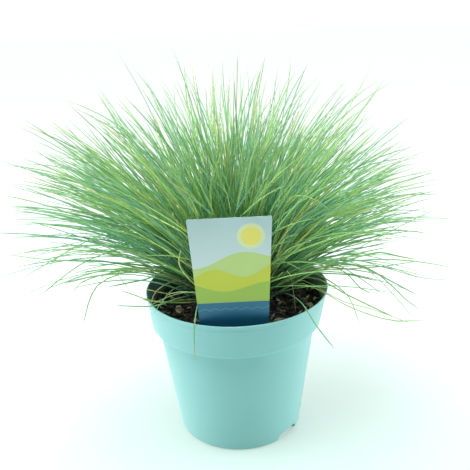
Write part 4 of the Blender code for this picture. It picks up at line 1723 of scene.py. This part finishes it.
papery, tree, shader = new_material("papery_sheath")
place = add_node(tree, "ShaderNodeTexCoord")
veins = add_node(
    tree,
    "ShaderNodeTexNoise",
    values={"Scale": 1 / VEIN_SIZE, "Detail": 4.0},
    wires={"Vector": place.outputs["Object"]},
)
colour = add_node(
    tree,
    "ShaderNodeMix",
    {"data_type": "RGBA"},
    {6: linear("#5d4b33"), 7: linear("#a89067")},
    {0: veins.outputs["Fac"]},
)
ridges = add_node(
    tree,
    "ShaderNodeBump",
    values={"Strength": 0.4, "Distance": 0.2 * MM},
    wires={"Height": veins.outputs["Fac"]},
)
matt = add_node(
    tree,
    "ShaderNodeMapRange",
    values={"To Min": 0.65, "To Max": 0.85},
    wires={"Value": veins.outputs["Fac"]},
)
tree.links.new(colour.outputs[2], shader.inputs["Base Color"])
tree.links.new(matt.outputs["Result"], shader.inputs["Roughness"])
tree.links.new(ridges.outputs["Normal"], shader.inputs["Normal"])
add_piece("leaf_sheaths", sheath_mesh, [papery], "grass_clump")

# %% [markdown]
# ## Litter on the bed
# Bark sheds long fibres, and bits of dead leaf fall on the soil. They are the same needles as the
# leaves, 8 to 26 mm long, bent a little and laid on the bed's own height. Those whose end would
# reach the wall are left out.

# %% Litter on the bed
LITTER_COUNT, LITTER_POINTS = 170, 9
LITTER_LENGTHS, LITTER_LIFTS = (0.008, 0.026), (0.0004, 0.0030)
LITTER_FROM, LITTER_TO, LITTER_FREE_EDGE = 0.42, 0.93, 0.003
LITTER_THICK = (0.4, 0.9)  # from and to, in mm
BOW, BOW_MIDDLE = 0.22, 0.08
litter_seeds = np.random.default_rng(15)
azimuth = litter_seeds.uniform(-math.pi, math.pi, LITTER_COUNT)
from_axis = litter_seeds.uniform(LITTER_FROM, LITTER_TO, LITTER_COUNT) * bed_edge
middle = toward(azimuth) * from_axis[:, None]
length = litter_seeds.uniform(*LITTER_LENGTHS, LITTER_COUNT)[:, None, None]
heading = toward(litter_seeds.uniform(-math.pi, math.pi, LITTER_COUNT))[:, None, :]
share = np.linspace(-0.5, 0.5, LITTER_POINTS)[None, :, None]
bow = litter_seeds.normal(0, BOW, LITTER_COUNT)[:, None, None] * (share**2 - BOW_MIDDLE)
sideways = np.stack([-heading[..., 1], heading[..., 0], heading[..., 2]], -1)
litter = middle[:, None, :] + length * (heading * share + sideways * bow)
litter = litter[np.hypot(litter[..., 0], litter[..., 1]).max(1) < bed_edge - LITTER_FREE_EDGE]
for line, raised in zip(litter, litter_seeds.uniform(*LITTER_LIFTS, len(litter))):
    for point in line:
        point[2] = bed_top(point[0], point[1]) + raised
litter_tones = litter_seeds.uniform(0, 1, len(litter))
litter_thickness = some_thickness(*LITTER_THICK, len(litter), seed=10)
litter_mesh = leaf_mesh("litter", litter, litter_tones, dead, litter_thickness, taper=SHEATH_TAPER)
print("litter:", len(litter), "of", LITTER_COUNT)
add_piece("litter", litter_mesh, [bark], "potting_mix")
